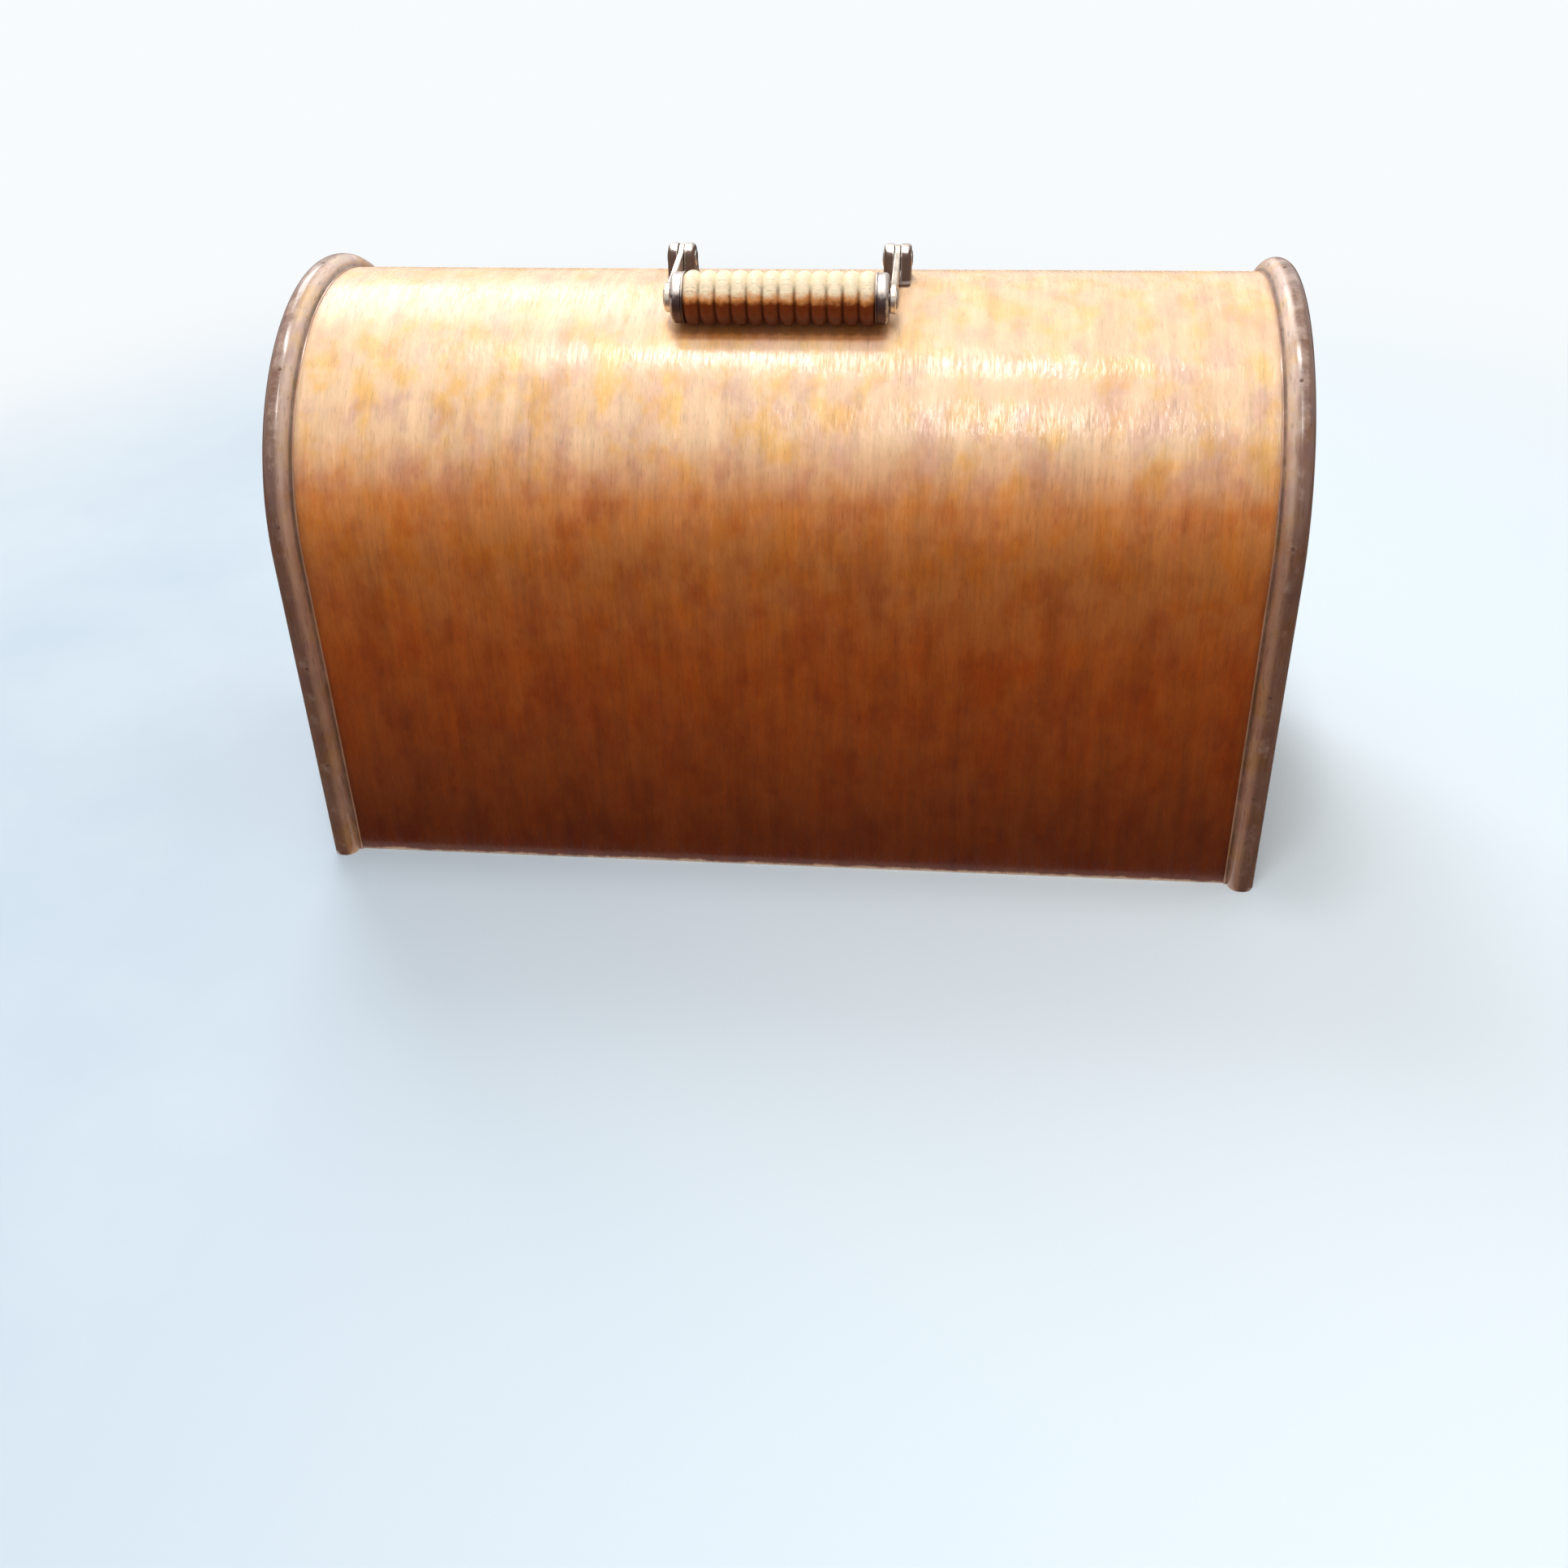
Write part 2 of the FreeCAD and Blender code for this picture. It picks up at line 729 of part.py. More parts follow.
def lock_pivot():
    """Post that the hook turns on, from the plate to the case, with a collar on each side of the hook."""
    low_end, high_end = panel_inner_x + plate_thickness, lock_case_outer_x - lock_case_wall
    low_collar = hook_x - hook_collar_clearance
    high_collar = hook_x + hook_thickness + hook_collar_clearance
    return fused([
        rod_along_x(hook_pivot_radius, low_end, high_end, hook_pivot_y, hook_pivot_z),
        rod_along_x(hook_collar_radius, low_end, low_collar, hook_pivot_y, hook_pivot_z),
        rod_along_x(hook_collar_radius, high_collar, high_end, hook_pivot_y, hook_pivot_z),
    ])


def key_post():
    """Post that a hollow key fits over, standing on the lock plate."""
    return rod_along_x(
        key_post_radius, panel_inner_x + plate_thickness, lock_case_outer_x, 0, key_z
    )


def lock_spring():
    """Leaf that steadies the hook's hub, with a foot folded against the case's side wall."""
    wall_y = -lock_case_width / 2 + lock_case_wall
    leaf_y = hook_pivot_y - hook_hub_radius - spring_clearance
    bottom_z = plate_thickness + spring_clearance
    leaf = box(
        hook_x, hook_x + hook_thickness, leaf_y - spring_thickness, leaf_y,
        bottom_z, bottom_z + spring_height,
    )
    foot = box(
        hook_x, hook_x + hook_thickness, wall_y, leaf_y,
        bottom_z + spring_height - spring_foot_height, bottom_z + spring_height,
    )
    return fused([leaf, foot])


def oval(width, height, x, y, z):
    """Upright oval face at x, centred on (y, z)."""
    ellipse = Part.Ellipse(ORIGIN, height / 2, width / 2)
    edge = ellipse.toShape()
    edge.rotate(ORIGIN, Y_AXIS, -90)
    edge.translate(Vector(x, y, z))
    return Part.Face(Part.Wire(edge))


def keyhole_plate_centre():
    """The plate is centred on the whole keyhole, not on its barrel."""
    return key_z + (keyhole_radius - keyhole_slot_reach) / 2


def keyhole_pin_places():
    reach = keyhole_plate_height / 2 - 2 * keyhole_pin_head_radius
    return [keyhole_plate_centre() + side * reach for side in (-1, 1)]


def keyhole_pins():
    """Two round-headed pins that hold the keyhole plate."""
    head_x = panel_outer_x + keyhole_plate_thickness
    return [
        fused([
            rod_along_x(keyhole_pin_radius, head_x - keyhole_pin_depth, head_x, 0, z),
            rod_along_x(keyhole_pin_head_radius, head_x, head_x + keyhole_pin_head_height, 0, z),
        ])
        for z in keyhole_pin_places()
    ]


def keyhole_plate():
    face = oval(keyhole_plate_width, keyhole_plate_height, panel_outer_x, 0, keyhole_plate_centre())
    plate = face.extrude(X_AXIS * keyhole_plate_thickness)
    return plate.cut([keyhole(panel_inner_x, half_length)] + keyhole_pins())


def right_end_panel():
    """The lock's panel, with the lock let in from the inside and the keyhole through it."""
    return end_panel().cut(
        [angle_plate(), lock_case_block(), keyhole(panel_inner_x, half_length)]
        + plate_screws() + keyhole_pins()
    )


def catch_slot():
    """Slot and pocket on the right, mirrored with the plate that they belong to."""
    x0 = panel_inner_x + catch_slot_setback
    x1 = x0 + catch_slot_width
    half = catch_slot_length / 2
    return box(x0, x1, -half, half, -plate_thickness, plate_thickness + catch_pocket_height)


def catch_plate():
    return other_end(angle_plate().cut(plate_screws() + [catch_slot()]))


def left_end_panel():
    return other_end(end_panel().cut([angle_plate(), catch_slot()] + plate_screws()))


# ---- assembly ----

def all_nodes():
    bead = bent_along_arch(bead_section()).cut(bead_pins(above=bead_pin_sunk + bead_proud))
    rail = front_rail()
    left_x, right_x = bracket_places()
    return {
        "bentwood_shell": [bentwood_shell()],
        "left_end_panel": [left_end_panel()],
        "right_end_panel": [right_end_panel()],
        "left_end_bead": [other_end(bead)],
        "right_end_bead": [bead],
        "left_bead_pins": [other_end(pin) for pin in bead_pins()],
        "right_bead_pins": bead_pins(),
        "front_bottom_rail": [rail],
        "back_bottom_rail": [rail.mirror(ORIGIN, Y_AXIS)],
        "left_glue_blocks": [other_end(block) for block in glue_blocks()],
        "right_glue_blocks": glue_blocks(),
        "handle_batten": [handle_batten()],
        "left_handle_bracket": [handle_bracket(left_x)],
        "right_handle_bracket": [handle_bracket(right_x)],
        "left_bracket_pin": [bracket_pin(left_x)],
        "right_bracket_pin": [bracket_pin(right_x)],
        "bracket_washers": [bracket_washer(x) for x in bracket_places()],
        "bracket_nuts": [bracket_nut(x) for x in bracket_places()],
        "left_handle_link": [handle_link(left_x)],
        "right_handle_link": [handle_link(right_x)],
        "grip_rod": [grip_rod()],
        "handle_grip": [handle_grip()],
        "left_grip_cap": [other_end(grip_cap())],
        "right_grip_cap": [grip_cap()],
        "lock_plate": [lock_plate()],
        "lock_case": [lock_case()],
        "lock_hook": [lock_hook()],
        "lock_pivot": [lock_pivot()],
        "lock_key_post": [key_post()],
        "lock_spring": [lock_spring()],
        "lock_screws": plate_screws(),
        "keyhole_plate": [keyhole_plate()],
        "keyhole_pins": keyhole_pins(),
        "catch_plate": [catch_plate()],
        "catch_screws": [other_end(screw) for screw in plate_screws()],
    }


def main():
    os.makedirs("parts", exist_ok=True)
    for name, solids in all_nodes().items():
        shape = solids[0] if len(solids) == 1 else Part.makeCompound(solids)
        shape.exportStep(f"parts/{name}.step")
        print(f"{name}: {len(shape.Solids)} solids, {shape.Volume:.1f} mm3, valid {shape.isValid()}")
    print(f"links lie {rest_drop():.2f} degrees below level; crown radius {crown_radius:.2f}")


main()
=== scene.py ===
"""Looks of a bentwood cover box for a small hand-cranked sewing machine, built round its fixed frame.

Metres. +X runs along the cover towards the lock, +Y to the back, +Z up. Every piece is made where its
frame node lies, with the handle folded down to the front.
"""

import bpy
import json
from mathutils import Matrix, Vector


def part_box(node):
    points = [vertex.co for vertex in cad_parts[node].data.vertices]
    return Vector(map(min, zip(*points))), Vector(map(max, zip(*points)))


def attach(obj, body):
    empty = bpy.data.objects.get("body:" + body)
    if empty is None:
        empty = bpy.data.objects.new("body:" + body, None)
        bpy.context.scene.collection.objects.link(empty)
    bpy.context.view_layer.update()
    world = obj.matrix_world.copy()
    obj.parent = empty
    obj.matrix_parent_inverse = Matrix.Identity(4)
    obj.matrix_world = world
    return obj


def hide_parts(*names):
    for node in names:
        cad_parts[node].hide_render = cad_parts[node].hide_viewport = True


bl_info = {
    "name": "Bentwood Machine Cover",
    "version": (1, 0, 0),
    "blender": (4, 5, 0),
    "location": "View3D > Sidebar > Cover",
    "description": "Builds the finished wood and metal pieces of a domed sewing machine cover",
    "category": "Object",
}

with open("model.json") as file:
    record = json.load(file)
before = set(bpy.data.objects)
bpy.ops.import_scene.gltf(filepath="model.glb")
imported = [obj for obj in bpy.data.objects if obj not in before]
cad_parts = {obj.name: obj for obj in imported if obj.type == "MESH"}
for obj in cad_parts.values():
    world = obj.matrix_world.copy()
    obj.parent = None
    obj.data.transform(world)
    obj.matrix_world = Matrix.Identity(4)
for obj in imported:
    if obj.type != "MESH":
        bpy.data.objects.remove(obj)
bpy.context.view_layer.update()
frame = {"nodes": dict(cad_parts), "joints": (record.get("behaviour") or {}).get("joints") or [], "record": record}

import json
import math

import bmesh
import bpy
from bpy.props import FloatProperty, FloatVectorProperty, IntProperty, PointerProperty
from mathutils import Matrix, Vector, noise

SHELL_LOW, SHELL_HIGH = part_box("bentwood_shell")
BEAD_LOW, BEAD_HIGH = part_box("right_end_bead")
GRIP_LOW, GRIP_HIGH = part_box("handle_grip")
CAP_LOW, CAP_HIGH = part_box("right_grip_cap")
BEAD_CREST = BEAD_HIGH.y - SHELL_HIGH.y
JOINTS = {joint["name"]: joint for joint in frame["joints"]}
PIVOT = Vector(JOINTS["handle_swing"]["pos_m"])
ROD_AXIS = Vector(JOINTS["grip_turn"]["pos_m"])

ENDS = {"left": -1, "right": 1}
MM = 0.001
ROD_CLEARANCE = 0.1 * MM


# ---- settings ----

def length_property(name, description, default):
    return FloatProperty(
        name=name, description=description, default=default, min=0.0, precision=5, unit="LENGTH"
    )


def angle_property(name, description, degrees):
    return FloatProperty(name=name, description=description, default=math.radians(degrees), subtype="ANGLE")


def strength_property(name, description, default):
    return FloatProperty(name=name, description=description, default=default, min=0.0)


def tint(red, green, blue):
    """The linear colour of a 0 to 255 screen colour."""
    channels = (value / 255 for value in (red, green, blue))
    return tuple(c / 12.92 if c <= 0.04045 else ((c + 0.055) / 1.055) ** 2.4 for c in channels)


def colour_property(name, description, red, green, blue):
    return FloatVectorProperty(
        name=name, description=description, subtype="COLOR", size=3, min=0.0, max=1.0,
        default=tint(red, green, blue),
    )


class CoverShellSettings(bpy.types.PropertyGroup):
    """Sizes of the bent sheet"""

    side_height: length_property("Side height", "Height of the straight sides below the arch", 153 * MM)
    crown_sweep: angle_property("Crown sweep", "Angle of the arch struck from the crown's own centre", 90)
    thickness: length_property("Thickness", "Thickness of the bent sheet", 5 * MM)
    wave_height: length_property("Wave height", "Height of the sheet's slow waves", 0.22 * MM)
    ripple_height: length_property("Ripple height", "Height of the flats left by the bending", 0.07 * MM)
    edge_ease: length_property("Edge ease", "Rounding of the lower edges", 0.9 * MM)


class CoverBeadSettings(bpy.types.PropertyGroup):
    """Sizes of the bent bead mouldings"""

    lip: length_property("Lip", "How far the bead runs past the sheet's edge", 4 * MM)
    corner: length_property("Corner", "Rounding of the bead's inner outside corner", 1.5 * MM)
    quirk_width: length_property("Quirk width", "Width of the narrow groove beside the bead", 0.7 * MM)
    fillet_width: length_property("Fillet width", "Width of the thin flat beyond the groove", 1.0 * MM)
    fillet_height: length_property("Fillet height", "Height of the thin flat above the sheet", 0.35 * MM)
    pin_radius: length_property("Pin radius", "Radius of the stopped brad heads", 0.9 * MM)
    side_pins: IntProperty(name="Side pins", description="Brads up each straight side", default=2, min=1)
    arch_pins: IntProperty(name="Arch pins", description="Brads over the arch", default=5, min=2)
    pin_spread: angle_property("Pin spread", "Lean of the outermost brads over the arch", 80)


class CoverHandleSettings(bpy.types.PropertyGroup):
    """Sizes of the carrying handle"""

    rib_count: IntProperty(name="Ribs", description="Rounded ribs turned on the grip", default=12, min=1)
    groove_depth: length_property("Groove depth", "Depth of the grooves between the ribs", 1.7 * MM)
    spigot_radius: length_property("Spigot radius", "Radius of the grip's ends inside their caps", 9.6 * MM)
    rod_radius: length_property("Rod radius", "Radius of the rod through the grip", 3 * MM)
    rod_head_radius: length_property("Rod head radius", "Radius of the rod's riveted ends", 4.2 * MM)
    pin_head_radius: length_property("Pin head radius", "Radius of the pivot pins' low heads", 3.4 * MM)
    pin_radius: length_property("Pin radius", "Radius of the pivot pins", 2 * MM)
    pin_eye_radius: length_property("Upper eye", "Radius of each link's upper eye", 5.5 * MM)
    rod_eye_radius: length_property("Lower eye", "Radius of each link's lower eye", 6 * MM)
    waist_width: length_property("Waist", "Width of each link between its eyes", 8 * MM)
    waist_fillet: length_property("Waist fillet", "Hollow where the waist meets an eye", 5 * MM)
    link_edge: length_property("Link edge", "Rounding of the links' edges", 0.5 * MM)
    cap_wall: length_property("Cap wall", "Thickness of the pressed caps", 0.9 * MM)
    cap_round: length_property("Cap round", "Rounding of the caps' outer corner", 1.8 * MM)


class CoverColourSettings(bpy.types.PropertyGroup):
    """Colours of the finishes"""

    # Crown: pale partly from sun fading and partly as a painted sheen of the light from above.
    crown: colour_property("Crown", "Sun-faded veneer on top", 247, 211, 173)
    shoulder: colour_property("Shoulder", "Veneer where the arch turns down", 243, 203, 162)
    haunch: colour_property("Haunch", "Veneer where the arch meets the straight sides", 215, 137, 71)
    # Side and foot: darker partly as the veneer's own tone and partly as painted shade low on the sides.
    side: colour_property("Side", "Veneer on the straight sides", 174, 86, 26)
    foot: colour_property("Foot", "Veneer near the lower edge", 104, 42, 12)
    warm_film: colour_property("Warm film", "Tint of the golden patches in the varnish", 255, 236, 160)
    cool_film: colour_property("Cool film", "Tint of the clouded patches in the varnish", 232, 220, 238)
    deep_film: colour_property("Deep film", "Tint of the darker patches in the varnish", 232, 190, 140)
    bead: colour_property("Bead", "Stained wood of the end beads", 180, 138, 112)
    # Painted shade on the beads' outer side, turned away from the light.
    bead_shade: colour_property("Bead side", "Stained wood on the beads' outer side", 128, 92, 76)
    # Rubbed wood on the crest, also the painted sheen along the beads' inner side.
    bead_worn_and_sheen: colour_property("Worn bead", "Rubbed wood along the beads' inner side", 246, 224, 208)
    end_wood: colour_property("End wood", "Stained wood of the end panels", 158, 98, 56)
    bare_wood: colour_property("Bare wood", "Unfinished wood inside", 196, 154, 108)
    grip: colour_property("Grip", "Dark stained wood of the grip", 122, 52, 10)
    # Amber and pale grip: partly fading and partly a painted highlight of the light from above on the grip's upper
    # half.
    grip_amber: colour_property("Amber grip", "Grip wood where its stain has begun to fade", 222, 150, 86)
    grip_faded_and_sheen: colour_property("Faded grip", "Grip wood where light and hands reached it", 252, 234, 200)
    # Grime colour, also used as painted shade under the grip and in some creases.
    dirt: colour_property("Dirt", "Dust and wax settled in the corners", 52, 34, 26)
    steel: colour_property("Steel", "Bright strap steel", 226, 212, 196)
    iron_paint: colour_property("Iron paint", "Brown paint on the brackets", 84, 60, 46)
    # Bare metal of rubbed edges, also the painted highlight on the upward faces of the brackets and caps.
    bare_iron_and_highlight: colour_property("Bare iron", "Metal showing where paint has rubbed off", 206, 196, 188)
    cap: colour_property("Cap", "Dulled metal of the grip's caps", 98, 78, 74)
    lock: colour_property("Lock steel", "Grey steel of the lock and screws", 150, 148, 146)
    brass: colour_property("Brass", "Aged brass of the keyhole plate", 188, 152, 90)


class CoverStageSettings(bpy.types.PropertyGroup):
    """Floor, lamps and camera"""

    floor: colour_property("Floor", "Pale floor near the cover", 191, 208, 222)
    floor_light: colour_property("Light floor", "Floor where more light falls", 221, 234, 242)
    floor_far: colour_property("Far floor", "Floor and background away from the cover", 248, 251, 253)
    floor_bounce: colour_property("Floor bounce", "Floor as the cover's front reflects it", 120, 104, 96)
    floor_size: length_property("Floor size", "Side of the floor", 40.0)
    inside_glow: strength_property("Inside glow", "Light from the floor into the cover's inside", 0.9)
    lamp_strength: strength_property("Lamp strength", "Power of all lamps together", 1.0)
    sky_strength: strength_property("Sky strength", "Even light from all round", 0.5)
    camera_place: FloatVectorProperty(
        name="Camera place", description="Where the camera stands", default=(0.0762, -0.7118, 0.4590),
        size=3, subtype="TRANSLATION", unit="LENGTH",
    )
    camera_pitch: angle_property("Camera pitch", "How far the camera looks down", 33.67)
    camera_yaw: angle_property("Camera yaw", "How far the camera is turned to the left", 6.86)
    camera_roll: angle_property("Camera roll", "How far the camera leans clockwise", 1.75)
    camera_lens: FloatProperty(
        name="Lens", description="Focal length on a 36 mm wide sensor", default=37.86, unit="CAMERA"
    )


class CoverSettings(bpy.types.PropertyGroup):
    """All settings of the cover"""

    shell: PointerProperty(type=CoverShellSettings, name="Shell", description="The bent sheet")
    bead: PointerProperty(type=CoverBeadSettings, name="Beads", description="The end beads")
    handle: PointerProperty(type=CoverHandleSettings, name="Handle", description="The carrying handle")
    colours: PointerProperty(type=CoverColourSettings, name="Colours", description="The finishes")
    stage: PointerProperty(type=CoverStageSettings, name="Stage", description="Floor, lamps and camera")


def settings():
    return bpy.context.scene.cover


# ---- node wiring ----

class Wiring:
    """Adds nodes to one material or group and joins them as they are made."""

    def __init__(self, tree):
        self.tree = tree
        self.surface = None

    def add(self, kind, inputs=None, **options):
        made = self.tree.nodes.new(kind)
        for name, value in options.items():
            setattr(made, name, value)
        for key, value in (inputs or {}).items():
            self.feed(made.inputs[key], value)
        return made

    def feed(self, socket, value):
        if isinstance(value, bpy.types.NodeSocket):
            self.tree.links.new(value, socket)
        elif socket.type == "RGBA":
            socket.default_value = (*value[:3], 1.0)
        else:
            socket.default_value = value

    def math(self, operation, first, second=0.0):
        return self.add("ShaderNodeMath", {0: first, 1: second}, operation=operation).outputs[0]

    def plus(self, first, second):
        return self.math("ADD", first, second)

    def minus(self, first, second):
        return self.math("SUBTRACT", first, second)

    def times(self, first, second):
        return self.math("MULTIPLY", first, second)

    def larger(self, first, second):
        return self.math("MAXIMUM", first, second)

    def vector(self, operation, first, second):
        return self.add("ShaderNodeVectorMath", {0: first, 1: second}, operation=operation).outputs[0]

    def scaled(self, vector, factor):
        made = self.add("ShaderNodeVectorMath", {0: vector, "Scale": factor}, operation="SCALE")
        return made.outputs[0]

    def split(self, vector):
        return self.add("ShaderNodeSeparateXYZ", {0: vector}).outputs

    def mix(self, factor, first, second):
        """A colour between two. The node has these sockets for colours and others for numbers."""
        made = self.add("ShaderNodeMix", {0: factor, 6: first, 7: second}, data_type="RGBA")
        return made.outputs[2]

    def noise(self, vector, scale, detail=2.0, roughness=0.5):
        inputs = {"Vector": vector, "Scale": scale, "Detail": detail, "Roughness": roughness}
        return self.add("ShaderNodeTexNoise", inputs).outputs[0]

    def remap(self, value, low, high, to_low=0.0, to_high=1.0):
        inputs = {0: value, 1: low, 2: high, 3: to_low, 4: to_high}
        return self.add("ShaderNodeMapRange", inputs, interpolation_type="SMOOTHSTEP").outputs[0]

    def ramp(self, value, stops):
        """A colour ramp through (place, colour) stops."""
        made = self.add("ShaderNodeValToRGB", {0: value})
        elements = made.color_ramp.elements
        while len(elements) < len(stops):
            elements.new(1.0)
        for element, (place, colour) in zip(elements, stops):
            element.position = place
            element.color = (*colour[:3], 1.0)
        return made.outputs[0]

    def group(self, tree, inputs):
        return self.add("ShaderNodeGroup", inputs, node_tree=tree).outputs

    def position(self):
        return self.add("ShaderNodeTexCoord").outputs["Object"]

    def attribute(self, name):
        return self.add("ShaderNodeAttribute", attribute_name=name).outputs["Fac"]

    def bump(self, height, strength, distance):
        inputs = {"Strength": strength, "Distance": distance, "Height": height}
        return self.add("ShaderNodeBump", inputs).outputs[0]


# ---- effects ----

SOCKET_KINDS = {
    "Color": "Color", "Warm": "Color", "Cool": "Color", "Deep": "Color", "Under": "Color", "Dirt": "Color",
    "Position": "Vector", "Stretch": "Vector",
}
EFFECTS = {}


def shader_effect(name, inputs, outputs):
    """Keeps a function that fills a shader group. Its sockets are numbers, unless listed above."""
    def keep(fill):
        EFFECTS[name] = fill, inputs, outputs
        return fill
    return keep


def effect(name):
    """The named shader group, built at its first use."""
    if name in bpy.data.node_groups:
        return bpy.data.node_groups[name]
    fill, inputs, outputs = EFFECTS[name]
    tree = bpy.data.node_groups.new(name, "ShaderNodeTree")
    for way, sockets in (("INPUT", inputs), ("OUTPUT", outputs)):
        for socket in sockets.split():
            kind = "NodeSocket" + SOCKET_KINDS.get(socket, "Float")
            tree.interface.new_socket(socket, in_out=way, socket_type=kind)
    w = Wiring(tree)
    fill(w, w.add("NodeGroupInput").outputs, w.add("NodeGroupOutput").inputs)
    return tree


@shader_effect("Wood grain", "Color Position Stretch Streaks Pores", "Color Height")
def wood_grain(w, given, results):
    """Long streaks and short dark pores along the grain, with Stretch streaks to the metre each way."""
    along = w.vector("MULTIPLY", given["Position"], given["Stretch"])
    streak = w.noise(along, 1.0, detail=4.0, roughness=0.6)
    broad = w.noise(along, 0.21)
    pore = w.remap(w.noise(along, 2.3, detail=1.0), 0.60, 0.70)
    figure = w.minus(w.plus(streak, broad), 1.0)
    lightness = w.plus(w.times(figure, given["Streaks"]), 1.0)
    darkness = w.minus(1.0, w.times(pore, given["Pores"]))
    brightness = w.times(lightness, darkness)
    w.feed(results["Color"], w.scaled(given["Color"], brightness))
    w.feed(results["Height"], w.minus(streak, w.times(pore, 0.6)))


@shader_effect("Clouded varnish", "Color Position Scale Warm Cool Deep Amount Depth", "Color")
def clouded_varnish(w, given, results):
    """Soft patches, Scale to the metre, in which old varnish tints the wood warmer, cooler or darker."""
    colour, clear = given["Color"], (1.0, 1.0, 1.0)
    for hue, amount, offset in (("Warm", "Amount", 0.0), ("Cool", "Amount", 7.7), ("Deep", "Depth", 3.1)):
        moved = w.vector("ADD", given["Position"], (offset, offset, offset))
        patch = w.remap(w.noise(moved, given["Scale"], detail=3.0, roughness=0.55), 0.44, 0.68)
        film = w.mix(w.times(patch, given[amount]), clear, given[hue])
        colour = w.vector("MULTIPLY", colour, film)
    w.feed(results["Color"], colour)


@shader_effect("Uneven gloss", "Position Stretch Depth", "Height")
def uneven_gloss(w, given, results):
    """Height, in metres, of varnish that lies in shallow pools drawn out along the grain."""
    along = w.vector("MULTIPLY", given["Position"], given["Stretch"])
    pools = w.plus(w.noise(along, 1.0), w.noise(along, 0.37, detail=1.0))
    w.feed(results["Height"], w.times(pools, given["Depth"]))


@shader_effect("Rubbed away", "Color Under Position Scale Wear Amount", "Color Mask")
def rubbed_away(w, given, results):
    """Lets another colour show where Wear is high, in an outline broken Scale times to the metre."""
    breaks = w.noise(given["Position"], given["Scale"], detail=5.0, roughness=0.65)
    reach = w.plus(given["Wear"], w.times(w.minus(breaks, 0.5), 1.4))
    mask = w.times(w.remap(reach, 0.35, 0.85), given["Amount"])
    w.feed(results["Color"], w.mix(mask, given["Color"], given["Under"]))
    w.feed(results["Mask"], mask)


# Darkens creases: grime, and in some creases painted shade.
@shader_effect("Settled dirt", "Color Dirt Position Scale Crevice Amount", "Color")
def settled_dirt(w, given, results):
    """Darkens the places where Crevice is high, with an uneven edge."""
    patches = w.noise(given["Position"], given["Scale"], detail=4.0, roughness=0.6)
    reach = w.times(given["Crevice"], w.remap(patches, 0.25, 0.6, 0.35, 1.0))
    w.feed(results["Color"], w.mix(w.times(reach, given["Amount"]), given["Color"], given["Dirt"]))


@shader_effect("Handling marks", "Position Scale Polished Dull", "Roughness Height")
def handling_marks(w, given, results):
    """Smudges and hair scratches from handling, as roughness between Polished and Dull, and their height."""
    smudge = w.noise(given["Position"], given["Scale"], detail=4.0, roughness=0.6)
    swirl = w.scaled(w.vector("MULTIPLY", given["Position"], (0.35, 1.0, 1.7)), given["Scale"])
    line = w.math("ABSOLUTE", w.minus(w.noise(swirl, 3.0, detail=3.0), 0.5))
    scratch = w.remap(line, 0.0, 0.012, 1.0, 0.0)
    dulled = w.larger(w.remap(smudge, 0.3, 0.7), w.times(scratch, 0.5))
    spread = w.minus(given["Dull"], given["Polished"])
    w.feed(results["Roughness"], w.plus(given["Polished"], w.times(dulled, spread)))
    w.feed(results["Height"], w.minus(smudge, scratch))


@shader_effect("Sharp edges", "Reach", "Mask")
def sharpness(w, given, results):
    """How sharp the edge is within Reach of each point, as a mask."""
    rounded = w.add("ShaderNodeBevel", {"Radius": given["Reach"]}, samples=4).outputs[0]
    facing = w.add("ShaderNodeNewGeometry").outputs["Normal"]
    likeness = w.add("ShaderNodeVectorMath", {0: rounded, 1: facing}, operation="DOT_PRODUCT")
    w.feed(results["Mask"], w.remap(w.minus(1.0, likeness.outputs["Value"]), 0.01, 0.16))


# ---- finishes ----

# how fine a pattern is along X, Y and Z, as a share of its count to the metre
GRAIN_ROUND_ARCH = (1.0, 0.09, 0.09)
PATCHES_ROUND_ARCH = (1.0, 0.7, 0.7)
GRAIN_ALONG_X = (0.035, 1.0, 1.0)
GRAIN_ALONG_Y = (1.0, 0.035, 1.0)
GLOSS_POOLS_PER_METRE = (520.0, 230.0, 230.0)
FINISHES = {}


def finish_of(material_name, group="colours"):
    """Keeps a function that wires up a finish's material from one group of settings."""
    def keep(fill):
        FINISHES[fill.__name__] = fill, material_name, group
        return fill
    return keep


def finish(name):
    """The material of the named finish, built at its first use."""
    fill, material_name, group = FINISHES[name]
    if material_name in bpy.data.materials:
        return bpy.data.materials[material_name]
    material = bpy.data.materials.new(material_name)
    material.use_nodes = True
    material.node_tree.nodes.clear()
    w = Wiring(material.node_tree)
    shader = w.add("ShaderNodeBsdfPrincipled")
    w.surface = w.add("ShaderNodeOutputMaterial", {"Surface": shader.outputs[0]}).inputs["Surface"]
    fill(w, shader.inputs, getattr(settings(), group))
    return material


def grained(w, colour, stretch, per_metre, streaks, pores):
    """Colour and height of wood whose grain runs the way that stretch is small."""
    return w.group(effect("Wood grain"), {
        "Color": colour, "Position": w.position(), "Stretch": tuple(per_metre * way for way in stretch),
        "Streaks": streaks, "Pores": pores,
    })


